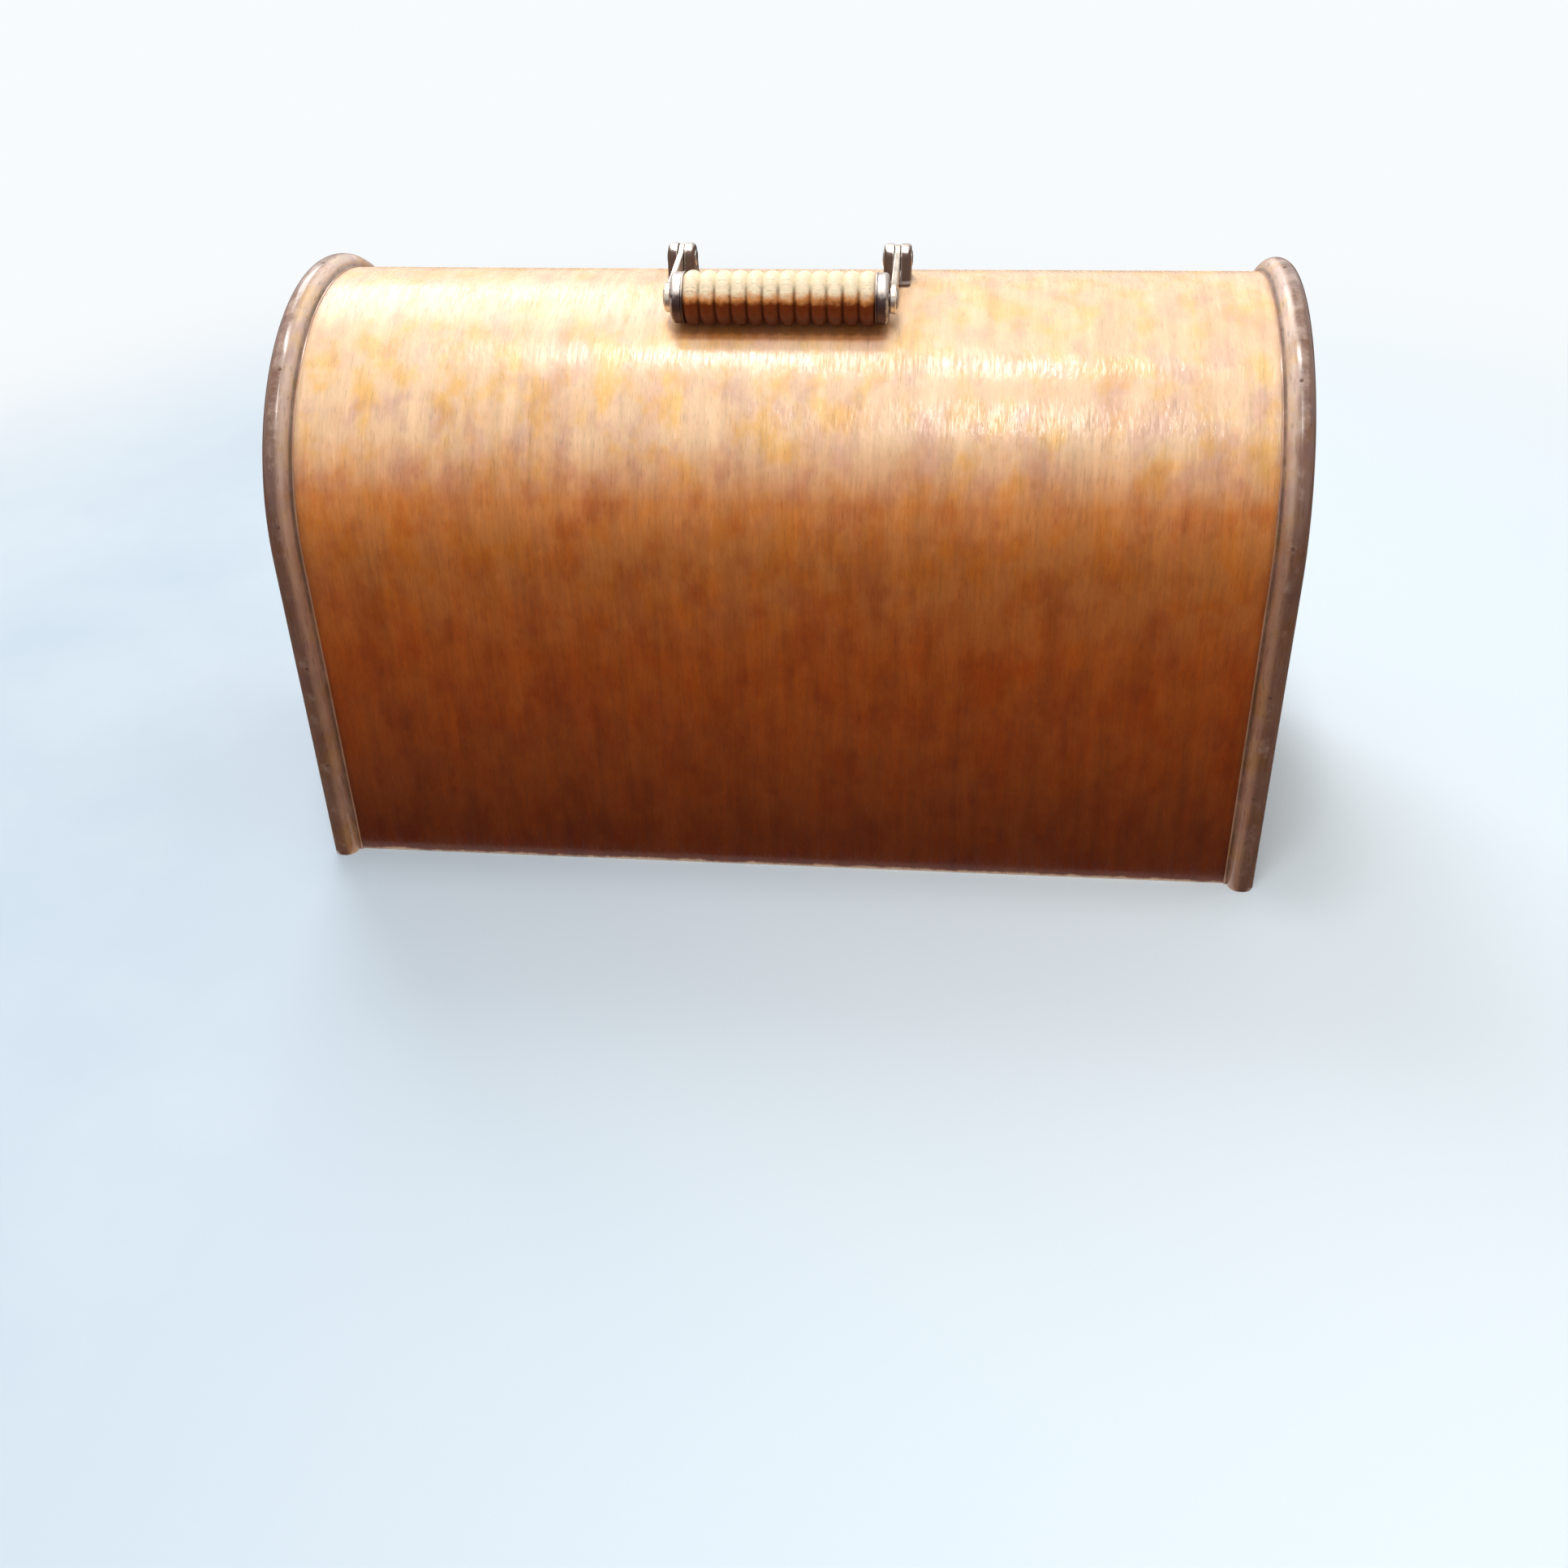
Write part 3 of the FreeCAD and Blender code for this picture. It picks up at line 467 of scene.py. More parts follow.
def clouded(w, colour, per_metre, amount, depth=0.0, stretch=(1.0, 1.0, 1.0)):
    """Varnish patches over a colour, drawn out the way that stretch is small."""
    colours = settings().colours
    return w.group(effect("Clouded varnish"), {
        "Color": colour, "Position": w.vector("MULTIPLY", w.position(), stretch), "Scale": per_metre,
        "Warm": colours.warm_film, "Cool": colours.cool_film, "Deep": colours.deep_film,
        "Amount": amount, "Depth": depth,
    })["Color"]


def rubbed(w, colour, under, wear, per_metre, amount):
    """Colour and mask of a finish rubbed through to another colour where wear is high."""
    return w.group(effect("Rubbed away"), {
        "Color": colour, "Under": under, "Position": w.position(), "Scale": per_metre,
        "Wear": wear, "Amount": amount,
    })


def dirtied_and_shaded(w, colour, crevice, per_metre, amount):
    """A colour with grime settled where crevice is high, which in some creases is painted shade."""
    return w.group(effect("Settled dirt"), {
        "Color": colour, "Dirt": settings().colours.dirt, "Position": w.position(),
        "Scale": per_metre, "Crevice": crevice, "Amount": amount,
    })["Color"]


def handled(w, per_metre, polished, dull):
    """Roughness and height of smudges and hair scratches."""
    return w.group(effect("Handling marks"), {
        "Position": w.position(), "Scale": per_metre, "Polished": polished, "Dull": dull,
    })


def sharp_edges(w, reach):
    """A mask of the sharp edges, which rub first."""
    return w.group(effect("Sharp edges"), {"Reach": reach})["Mask"]


def facing_up(w, low, high):
    """How far the surface faces up while the handle is at rest, as a mask."""
    return w.remap(w.split(w.add("ShaderNodeTexCoord").outputs["Normal"])["Z"], low, high)


def mottled(w, first, second, per_metre, low, high, amount):
    """Patches of a second colour, where a noise runs from low to high."""
    patches = w.noise(w.position(), per_metre, detail=5.0, roughness=0.6)
    return w.mix(w.times(w.remap(patches, low, high), amount), first, second)


def set_surface(w, shader, colour, roughness, height, strength, distance):
    """Feeds a finish's colour, roughness and relief to its shader."""
    w.feed(shader["Base Color"], colour)
    w.feed(shader["Roughness"], roughness)
    w.feed(shader["Normal"], w.bump(height, strength, distance))


def varnish_coat(shader, weight, roughness):
    shader["Coat Weight"].default_value = weight
    shader["Coat Roughness"].default_value = roughness


@finish_of("varnished_veneer")
def shell_veneer(w, shader, colours):
    """Varnished veneer, pale on the crown and darker towards its feet, partly from fading and partly as painted
    sheen and painted shade, with a painted shadow below the resting grip, and with its grain round the arch.
    """
    rise = w.math("DIVIDE", w.split(w.position())["Z"], SHELL_HIGH.z)
    # Painted sheen on the crown and painted shade towards the feet, on top of the veneer's own fading and tone.
    colour = w.ramp(rise, [
        (0.02, colours.foot), (0.45, colours.side), (0.735, colours.haunch), (0.83, colours.shoulder),
        (0.91, colours.crown),
    ])
    # Painted shadow of the resting grip: the strip below it turns to the haunch colour.
    colour = w.mix(w.attribute("shaded"), colour, colours.haunch)
    amount = w.remap(rise, 1.0, 0.88, 0.46, 0.72)
    depth = w.remap(rise, 0.95, 0.7, 0.1, 0.45)
    colour = clouded(w, colour, per_metre=78.0, amount=amount, depth=depth, stretch=PATCHES_ROUND_ARCH)
    inside = w.attribute("inside")
    colour = w.mix(inside, colour, colours.bare_wood)
    grain = grained(w, colour, GRAIN_ROUND_ARCH, per_metre=860.0, streaks=0.5, pores=0.16)
    colour = dirtied_and_shaded(w, grain["Color"], w.attribute("crevice"), per_metre=60.0, amount=0.4)
    colour = rubbed(w, colour, colours.crown, w.attribute("wear"), per_metre=90.0, amount=0.5)["Color"]
    pools = w.group(effect("Uneven gloss"), {
        "Position": w.position(), "Stretch": GLOSS_POOLS_PER_METRE, "Depth": 0.13 * MM,
    })["Height"]
    relief = w.plus(pools, w.times(grain["Height"], 0.025 * MM))
    dull_threads = w.remap(grain["Height"], 0.34, 0.58, 0.16, 0.0)
    varnish = w.plus(handled(w, per_metre=14.0, polished=0.15, dull=0.28)["Roughness"], dull_threads)
    roughness = w.larger(varnish, w.times(inside, 0.7))
    set_surface(w, shader, colour, roughness, relief, strength=1.0, distance=1.0)
    shader["Specular IOR Level"].default_value = 0.36


@finish_of("stained_bead")
def bead_wood(w, shader, colours):
    """Dark stained bead, with a painted sheen on the inner side of its crest and painted shade on its outer side.
    """
    # Painted shade on the outer side, then a painted sheen on the inner side.
    colour = w.mix(w.attribute("shaded"), colours.bead, colours.bead_shade)
    colour = w.mix(w.attribute("pale"), colour, colours.bead_worn_and_sheen)
    colour = clouded(w, colour, per_metre=70.0, amount=0.6)
    grain = grained(w, colour, GRAIN_ROUND_ARCH, per_metre=700.0, streaks=0.6, pores=0.25)
    worn = rubbed(w, grain["Color"], colours.bead_worn_and_sheen, w.attribute("wear"), per_metre=110.0, amount=0.35)
    colour = dirtied_and_shaded(w, worn["Color"], w.attribute("crevice"), per_metre=80.0, amount=0.6)
    marks = handled(w, per_metre=22.0, polished=0.22, dull=0.36)
    set_surface(w, shader, colour, marks["Roughness"], grain["Height"], strength=0.3, distance=0.12 * MM)
    varnish_coat(shader, weight=0.25, roughness=0.14)


@finish_of("stained_end_board")
def end_wood(w, shader, colours):
    """Stained board with its grain across the cover."""
    colour = clouded(w, colours.end_wood, per_metre=24.0, amount=0.6)
    grain = grained(w, colour, GRAIN_ALONG_Y, per_metre=330.0, streaks=0.8, pores=0.4)
    worn = rubbed(w, grain["Color"], colours.crown, sharp_edges(w, 1.2 * MM), per_metre=120.0, amount=0.6)
    marks = handled(w, per_metre=16.0, polished=0.24, dull=0.42)
    set_surface(
        w, shader, worn["Color"], marks["Roughness"], grain["Height"], strength=0.35, distance=0.15 * MM
    )
    varnish_coat(shader, weight=0.25, roughness=0.15)


@finish_of("bare_sawn_wood")
def inside_wood(w, shader, colours):
    """Bare sawn wood, dry and dusty."""
    colour = clouded(w, colours.bare_wood, per_metre=20.0, amount=0.5)
    grain = grained(w, colour, GRAIN_ALONG_X, per_metre=420.0, streaks=0.9, pores=0.35)
    marks = handled(w, per_metre=40.0, polished=0.62, dull=0.85)
    set_surface(
        w, shader, grain["Color"], marks["Roughness"], grain["Height"], strength=0.6, distance=0.25 * MM
    )


@finish_of("turned_grip_wood")
def grip_wood(w, shader, colours):
    """Dark turned wood, lighter through amber to pale where it lies uppermost, partly from fading and partly as a
    painted highlight, with painted shade on its underside and grime with painted shade in the grooves.
    """
    above_rod = w.minus(w.split(w.position())["Z"], ROD_AXIS.z)
    rise = w.math("DIVIDE", above_rod, (GRIP_HIGH.z - GRIP_LOW.z) / 2)
    uneven = w.times(w.minus(w.noise(w.position(), 240.0, detail=3.0, roughness=0.6), 0.5), 0.55)
    # Painted highlight of the light from above on the upper half, partly also fading.
    colour = w.ramp(w.plus(rise, uneven), [
        (0.03, colours.grip), (0.23, colours.grip_amber), (0.48, colours.grip_faded_and_sheen),
    ])
    grain = grained(w, colour, GRAIN_ALONG_X, per_metre=900.0, streaks=0.5, pores=0.25)
    # Painted shade on the underside, in the grime colour.
    colour = w.mix(w.remap(rise, -0.25, -0.75, 0.0, 0.5), grain["Color"], colours.dirt)
    # Grime and painted shade in the grooves, less on the lit upper side.
    depth = w.times(w.attribute("crevice"), w.remap(rise, 0.95, 0.35, 0.1, 0.9))
    colour = dirtied_and_shaded(w, colour, depth, per_metre=200.0, amount=0.7)
    marks = handled(w, per_metre=60.0, polished=0.28, dull=0.46)
    set_surface(w, shader, colour, marks["Roughness"], grain["Height"], strength=0.3, distance=0.08 * MM)
    shader["Specular IOR Level"].default_value = 0.24


def scratched_metal(w, shader, colour, per_metre, polished, dull, scratch_height):
    """Bare metal with smudges and hair scratches."""
    marks = handled(w, per_metre, polished, dull)
    set_surface(w, shader, colour, marks["Roughness"], marks["Height"], 0.4, scratch_height)
    shader["Metallic"].default_value = 1.0


@finish_of("bright_strap_steel")
def handle_steel(w, shader, colours):
    """Bright strap steel with brown freckles of rust."""
    freckles = w.remap(w.noise(w.position(), 420.0, detail=4.0, roughness=0.6), 0.62, 0.74)
    colour = w.mix(w.times(freckles, 0.7), colours.steel, colours.cap)
    scratched_metal(w, shader, colour, per_metre=90.0, polished=0.22, dull=0.40, scratch_height=0.04 * MM)


@finish_of("painted_bracket_iron")
def bracket_iron(w, shader, colours):
    """Brown painted iron, rubbed to metal on its edges, with a painted highlight in bare metal colour where it
    lies uppermost.
    """
    # Real wear on the sharp edges and a painted highlight on the upward faces.
    wear_and_highlight = w.larger(sharp_edges(w, 1.0 * MM), facing_up(w, 0.35, 0.9))
    worn = rubbed(w, colours.iron_paint, colours.bare_iron_and_highlight, wear_and_highlight, per_metre=300.0, amount=0.9)
    scratched_metal(
        w, shader, worn["Color"], per_metre=120.0, polished=0.28, dull=0.48, scratch_height=0.06 * MM
    )
    w.feed(shader["Metallic"], worn["Mask"])


@finish_of("dulled_cap_metal")
def cap_steel(w, shader, colours):
    """Dulled pressed metal, rubbed bright on its corner, with a painted highlight where it lies uppermost."""
    # Wear on the corner and a painted highlight on the upward faces.
    wear_and_highlight = w.larger(w.attribute("wear"), facing_up(w, 0.0, 0.6))
    worn = rubbed(w, colours.cap, colours.bare_iron_and_highlight, wear_and_highlight, per_metre=260.0, amount=0.9)
    colour = dirtied_and_shaded(w, worn["Color"], w.attribute("crevice"), per_metre=200.0, amount=0.8)
    scratched_metal(w, shader, colour, per_metre=110.0, polished=0.26, dull=0.5, scratch_height=0.05 * MM)


@finish_of("grey_lock_steel")
def lock_steel(w, shader, colours):
    """Grey steel with darker tarnish and bright edges."""
    colour = mottled(w, colours.lock, colours.cap, per_metre=160.0, low=0.45, high=0.75, amount=0.6)
    worn = rubbed(w, colour, colours.steel, sharp_edges(w, 0.8 * MM), per_metre=300.0, amount=0.7)
    scratched_metal(
        w, shader, worn["Color"], per_metre=80.0, polished=0.3, dull=0.55, scratch_height=0.05 * MM
    )


@finish_of("aged_brass")
def brass(w, shader, colours):
    """Aged brass, brown in patches and bright on its edges."""
    colour = mottled(w, colours.brass, colours.iron_paint, per_metre=190.0, low=0.4, high=0.7, amount=0.7)
    worn = rubbed(w, colour, colours.crown, sharp_edges(w, 0.8 * MM), per_metre=300.0, amount=0.8)
    scratched_metal(
        w, shader, worn["Color"], per_metre=100.0, polished=0.24, dull=0.5, scratch_height=0.05 * MM
    )


@finish_of("brad_stopping")
def brad_putty(w, shader, colours):
    """Dark wax stopping over a sunk brad."""
    speck = w.noise(w.position(), 1500.0, detail=3.0, roughness=0.6)
    w.feed(shader["Base Color"], w.mix(speck, colours.iron_paint, colours.bead_shade))
    w.feed(shader["Roughness"], w.remap(speck, 0.3, 0.7, 0.4, 0.7))


# ---- mesh helpers ----

SHARP_EDGE, FLAT_EDGE = 35, 0.5  # degrees
SAME_POINT = 1e-6


def smoothstep(low, high, value):
    t = min(max((value - low) / (high - low), 0.0), 1.0)
    return t * t * (3 - 2 * t)


def fading(low, high, value):
    """One up to low, and nothing from high on."""
    return 1 - smoothstep(low, high, value)


def swell(x, run, along, around, seed):
    """A slow height between -1 and 1, with so many swells to the metre along and round the arch."""
    return noise.noise(Vector((x * along, run * around, seed)))


def evenly(count, low, high):
    """Places spread evenly from low to high."""
    return [low + (high - low) * i / max(count - 1, 1) for i in range(count)]


def round_a_circle(count):
    """Angles spread evenly round a whole turn."""
    return evenly(count + 1, 0.0, 2 * math.pi)[:-1]


def new_object(name, data):
    made = bpy.data.objects.new(name, data)
    bpy.context.scene.collection.objects.link(made)
    return made


def body_of_node(name):
    bodies = frame["record"]["behaviour"]["bodies"]
    return next(body for body, members in bodies.items() if name in members)


def slot_of_node(name):
    return frame["nodes"][name].material_slots[0].name


def stand_in(name, mesh, node, material=None):
    """Shows a finished mesh in place of a frame node, in that node's finish."""
    slot = slot_of_node(node)
    piece = new_object(name, mesh)
    mesh.materials.clear()
    mesh.materials.append(finish(material or slot))
    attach(piece, body_of_node(node))
    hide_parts(node)
    return piece


def welded_mesh(name, points, faces, smooth_below=40, marks=None):
    """A mesh with coinciding points joined, outward faces, and sharp edges above an angle in degrees."""
    edit = bmesh.new()
    layers = {key: edit.verts.layers.float.new(key) for key in (marks or {})}
    for i, point in enumerate(points):
        vertex = edit.verts.new(point)
        for key, layer in layers.items():
            vertex[layer] = marks[key][i]
    edit.verts.ensure_lookup_table()
    for face in faces:
        edit.faces.new([edit.verts[i] for i in face])
    bmesh.ops.remove_doubles(edit, verts=edit.verts, dist=SAME_POINT)
    bmesh.ops.recalc_face_normals(edit, faces=edit.faces)
    mesh = bpy.data.meshes.new(name)
    edit.to_mesh(mesh)
    edit.free()
    mesh.shade_smooth()
    mesh.set_sharp_from_angle(angle=math.radians(smooth_below))
    return mesh


def soften_edges(piece, width, segments=3):
    """Rounds a piece's sharp edges by this much."""
    bevel = piece.modifiers.new("Eased edges", "BEVEL")
    bevel.width = width
    bevel.segments = segments
    bevel.limit_method = "ANGLE"
    bevel.angle_limit = math.radians(SHARP_EDGE)
    bevel.harden_normals = True


def clean_copy(node):
    """A frame node's own shape, with flat faces joined up."""
    edit = bmesh.new()
    edit.from_mesh(frame["nodes"][node].data)
    bmesh.ops.remove_doubles(edit, verts=edit.verts, dist=SAME_POINT)
    flat = math.radians(FLAT_EDGE)
    bmesh.ops.dissolve_limit(edit, angle_limit=flat, verts=edit.verts, edges=edit.edges)
    mesh = bpy.data.meshes.new(f"finished_{node}")
    edit.to_mesh(mesh)
    edit.free()
    if "custom_normal" in mesh.attributes:
        mesh.attributes.remove(mesh.attributes["custom_normal"])
    mesh.shade_smooth()
    mesh.set_sharp_from_angle(angle=math.radians(SHARP_EDGE))
    return stand_in(mesh.name, mesh, node)


def dress(edge_widths, segments=2):
    """Finishes frame nodes in their own shape, with their sharp edges rounded by these widths."""
    for node, width in edge_widths.items():
        soften_edges(clean_copy(node), width, segments)


def loose_parts(mesh):
    """The lowest and highest corners of each separate part of a mesh."""
    edit = bmesh.new()
    edit.from_mesh(mesh)
    bmesh.ops.remove_doubles(edit, verts=edit.verts, dist=SAME_POINT)
    waiting, parts = set(edit.verts), []
    while waiting:
        reached, edge = set(), {min(waiting, key=lambda v: v.index)}
        while edge:
            reached |= edge
            edge = {e.other_vert(v) for v in edge for e in v.link_edges} - reached
        waiting -= reached
        corners = [tuple(pick(v.co[i] for v in reached) for i in range(3)) for pick in (min, max)]
        parts.append((Vector(corners[0]), Vector(corners[1])))
    edit.free()
    return parts


def ring_faces(first, rings, spokes):
    """Quads between rings of points that follow one another from this first point."""
    faces = []
    for ring in range(rings - 1):
        for i in range(spokes):
            here, after = first + ring * spokes + i, first + ring * spokes + (i + 1) % spokes
            faces.append((here, after, after + spokes, here + spokes))
    return faces


def turned_mesh(name, profile, axis, marks, spokes=72, closed=False):
    """A profile of (x, radius) points spun about a line along X through axis."""
    points, values = [], {key: [] for key in marks}
    for x, radius in profile:
        for angle in round_a_circle(spokes):
            spoke = Vector((0, math.cos(angle), math.sin(angle)))
            points.append(Vector((x, axis.y, axis.z)) + spoke * radius)
            for key, rule in marks.items():
                values[key].append(rule(x, radius))
    faces = ring_faces(0, len(profile), spokes)
    if closed:
        last = (len(profile) - 1) * spokes
        faces += [(last + i, last + (i + 1) % spokes, (i + 1) % spokes, i) for i in range(spokes)]
    return welded_mesh(name, points, faces, marks=values)


# ---- the arch that the shell and the beads follow ----

class Arch:
    """The line of the shell's outside, from its front foot over the crown to its back foot.

    Two straight sides run into the shoulders' arcs, and those into the crown's arc, without a corner.
    """

    def __init__(self, half_width, crown_height, side_height, crown_sweep):
        turn = (math.pi - crown_sweep) / 2
        rise = crown_height - side_height
        flat = math.cos(turn) + math.sin(turn) - 1
        self.half_width = half_width
        self.side_height = side_height
        self.turn = turn
        self.shoulder_radius = (rise * math.cos(turn) - half_width * (1 - math.sin(turn))) / flat
        self.inset = half_width - self.shoulder_radius
        self.crown_radius = self.shoulder_radius + self.inset / math.cos(turn)
        self.crown_centre = crown_height - self.crown_radius
        self.shoulder_run = side_height + self.shoulder_radius * turn
        self.length = 2 * self.shoulder_run + self.crown_radius * crown_sweep

    def from_foot(self, run):
        """The run from the nearer foot."""
        return min(run, self.length - run)

    def place(self, run):
        """The point at this run from the front foot, and the direction that faces out there."""
        side = 1 if run > self.length / 2 else -1
        run = self.from_foot(run)
        if run <= self.side_height:
            return Vector((0, side * self.half_width, run)), Vector((0, side, 0))
        if run <= self.shoulder_run:
            level, radius = (run - self.side_height) / self.shoulder_radius, self.shoulder_radius
            centre = Vector((0, side * self.inset, self.side_height))
        else:
            level, radius = self.turn + (run - self.shoulder_run) / self.crown_radius, self.crown_radius
            centre = Vector((0, 0, self.crown_centre))
        outward = Vector((0, side * math.cos(level), math.sin(level)))
        return centre + outward * radius, outward

    def run_at_lean(self, lean):
        """The run where the outside leans back from upright by this angle."""
        level = math.pi / 2 - abs(lean)
        if level <= self.turn:
            run = self.side_height + self.shoulder_radius * level
        else:
            run = self.shoulder_run + self.crown_radius * (level - self.turn)
        return self.length - run if lean > 0 else run


def shell_arch():
    shell = settings().shell
    return Arch(SHELL_HIGH.y, SHELL_HIGH.z, shell.side_height, shell.crown_sweep)


def swept_mesh(name, arch, section, spacing, ease, marks, raised=None):
    """A closed section of (x, out) points carried along the arch, with its two feet eased.

    marks gives each point its named values, and raised(x, out, run) is added to its out.
    """
    steps = math.ceil((arch.length - 2 * ease) / spacing)
    middle = evenly(steps + 1, ease, arch.length - ease)
    foot = [(0.0, ease), (0.3 * ease, 0.3 * ease)]
    stations = foot + [(run, 0.0) for run in middle] + [(arch.length - run, cut) for run, cut in foot[::-1]]
    low_x, high_x = min(x for x, _ in section), max(x for x, _ in section)
    low_out, high_out = min(out for _, out in section), max(out for _, out in section)
    points, values = [], {key: [] for key in marks}
    for run, cut in stations:
        centre, outward = arch.place(run)
        for x, out in section:
            lift = raised(x, out, run) if raised else 0.0
            eased_x = min(max(x, low_x + cut), high_x - cut)
            eased_out = min(max(out + lift, low_out + cut), high_out + lift - cut)
            points.append(Vector((eased_x, 0, 0)) + centre + outward * eased_out)
            for key, rule in marks.items():
                values[key].append(rule(x, out, run))
    count = len(section)
    faces = ring_faces(0, len(stations), count)
    faces += [tuple(range(count)), tuple(range(len(points) - count, len(points)))]
    return welded_mesh(name, points, faces, marks=values)


# ---- pieces ----

class COVER_OT_shell(bpy.types.Operator):
    """Build the bent sheet with its slow waves and eased lower edges"""

    bl_idname = "cover.shell"
    bl_label = "Bent Shell"

    columns = 150
    spacing = 2.2 * MM

    def execute(self, context):
        shell, arch = settings().shell, shell_arch()
        outside = [(x, 0.0) for x in evenly(self.columns, SHELL_LOW.x, SHELL_HIGH.x)]
        inside = [(x, -shell.thickness) for x in evenly(self.columns, SHELL_HIGH.x, SHELL_LOW.x)]
        grip_run = arch.run_at_lean(math.atan2(ROD_AXIS.y, ROD_AXIS.z - arch.crown_centre))
        # Middle of the painted shadow below the resting grip.
        grip_shadow_run = grip_run - 2.5 * MM

        def wave(x, out, run):
            """Slow waves and the flats left by the bending, on the outside between the beads."""
            if out < 0:
                return 0.0
            fade = smoothstep(0.0, 18 * MM, BEAD_LOW.x - abs(x)) * smoothstep(0.0, 20 * MM, run)
            slow = swell(x, run, along=9.0, around=14.0, seed=0.3)
            flats = swell(x, run, along=5.0, around=75.0, seed=4.1)
            return fade * (shell.wave_height * slow + shell.ripple_height * flats)

        def crevice(x, out, run):
            """Dust near the feet, and dust with painted shade in the crease beside the beads."""
            beside_bead = fading(0.0, 2.5 * MM, BEAD_LOW.x - abs(x))
            near_foot = fading(0.0, 10 * MM, arch.from_foot(run))
            return max(beside_bead, 0.6 * near_foot)

        def wear(x, out, run):
            """Scuffed lower edges."""
            return 0.8 * fading(0.0, 3 * MM, arch.from_foot(run))

        def inside_face(x, out, run):
            return 1.0 if out < 0 else 0.0

        def shaded(x, out, run):
            """Painted shadow of the resting grip on the crown, also standing for veneer that the grip kept from
            fading.
            """
            under_grip = fading(7.5 * MM, 11.5 * MM, abs(run - grip_shadow_run))
            return 0.85 * under_grip * fading(-4 * MM, 2 * MM, abs(x) - CAP_HIGH.x)

        marks = {"crevice": crevice, "wear": wear, "shaded": shaded, "inside": inside_face}
        mesh = swept_mesh(
            "shell_sheet", arch, outside + inside, self.spacing, shell.edge_ease, marks, raised=wave
        )
        stand_in("shell_sheet", mesh, "bentwood_shell")
        return {"FINISHED"}


def groove_end(bead):
    """Where the groove beside the right bead meets its half round."""
    return BEAD_LOW.x + bead.fillet_width + bead.quirk_width


def bead_section(bead):
    """The right bead's outline: half round outside, a quirk and a fillet, and a lip over the sheet's edge."""
    thickness = settings().shell.thickness
    outer_x, inner_x, round_end = BEAD_HIGH.x, BEAD_LOW.x, groove_end(bead)
    half = (outer_x - round_end) / 2
    fullness = 0.92
    half_round = [
        (round_end + half - half * math.cos(angle), BEAD_CREST * math.sin(angle) ** fullness)
        for angle in evenly(25, math.radians(6), math.pi)
    ]
    fillet = [
        (inner_x, 0.0), (inner_x, bead.fillet_height * 0.7),
        (inner_x + 0.3 * bead.fillet_width, bead.fillet_height),
        (inner_x + 0.8 * bead.fillet_width, bead.fillet_height),
        (inner_x + bead.fillet_width, bead.fillet_height * 0.8),
        (inner_x + bead.fillet_width + 0.35 * bead.quirk_width, 0.1 * MM),
    ]
    corner = [
        (outer_x - bead.corner * (1 - math.cos(angle)), -thickness + bead.corner * (1 - math.sin(angle)))
        for angle in evenly(6, 0.0, math.pi / 2)
    ]
    lip = [(outer_x - bead.lip, -thickness), (outer_x - bead.lip, 0.0)]
    return fillet + half_round + corner + lip


class COVER_OT_beads(bpy.types.Operator):
    """Build the bent bead moulding at each end, with its stopped brads"""

    bl_idname = "cover.beads"
    bl_label = "End Beads"

    spacing = 1.8 * MM
    foot_ease = 0.5 * MM

    def execute(self, context):
        bead, arch = settings().bead, shell_arch()
        groove_middle = groove_end(bead) - 0.3 * MM

        def fade_and_sheen(run):
            """How far the bead is from its straight sides towards the crown, from nothing to one; it scales the
            painted sheen and the wear.
            """
            return smoothstep(0.45, 0.9, arch.from_foot(run) / (arch.length / 2))

        def across(x):
            """The share of the bead's width from its inner to its outer side."""
            return (abs(x) - BEAD_LOW.x) / (BEAD_HIGH.x - BEAD_LOW.x)

        def crevice(x, out, run):
            """Grime and painted shade in the groove, and grime under the lip."""
            in_groove = fading(0.5 * MM, 1.2 * MM, abs(abs(x) - groove_middle))
            below = smoothstep(0.0, 3 * MM, -out)
            return max(in_groove * fading(0.5 * MM, 1.8 * MM, out), 0.4 * below)

        def wear(x, out, run):
            return (0.35 + 0.25 * fade_and_sheen(run)) * smoothstep(0.7 * BEAD_CREST, BEAD_CREST, out)

        # Painted sheen along the inner side of the crest, strongest towards the crown.
        def pale(x, out, run):
            inner_side = smoothstep(0.04, 0.15, across(x)) * fading(0.28, 0.5, across(x))
            return 0.85 * fade_and_sheen(run) * inner_side

        # Painted shade on the outer side of the bead, turned away from the light.
        def shaded(x, out, run):
            return smoothstep(0.28, 0.52, across(x))

        marks = {"crevice": crevice, "wear": wear, "pale": pale, "shaded": shaded}
        for end, side in ENDS.items():
            section = [(side * x, out) for x, out in bead_section(bead)]
            moulding, stopping = f"{end}_bead_moulding", f"{end}_brad_stopping"
            mesh = swept_mesh(moulding, arch, section, self.spacing, self.foot_ease, marks)
            stand_in(moulding, mesh, f"{end}_end_bead")
            stand_in(stopping, brad_mesh(stopping, arch, side, bead), f"{end}_bead_pins", "brad_putty")
        return {"FINISHED"}


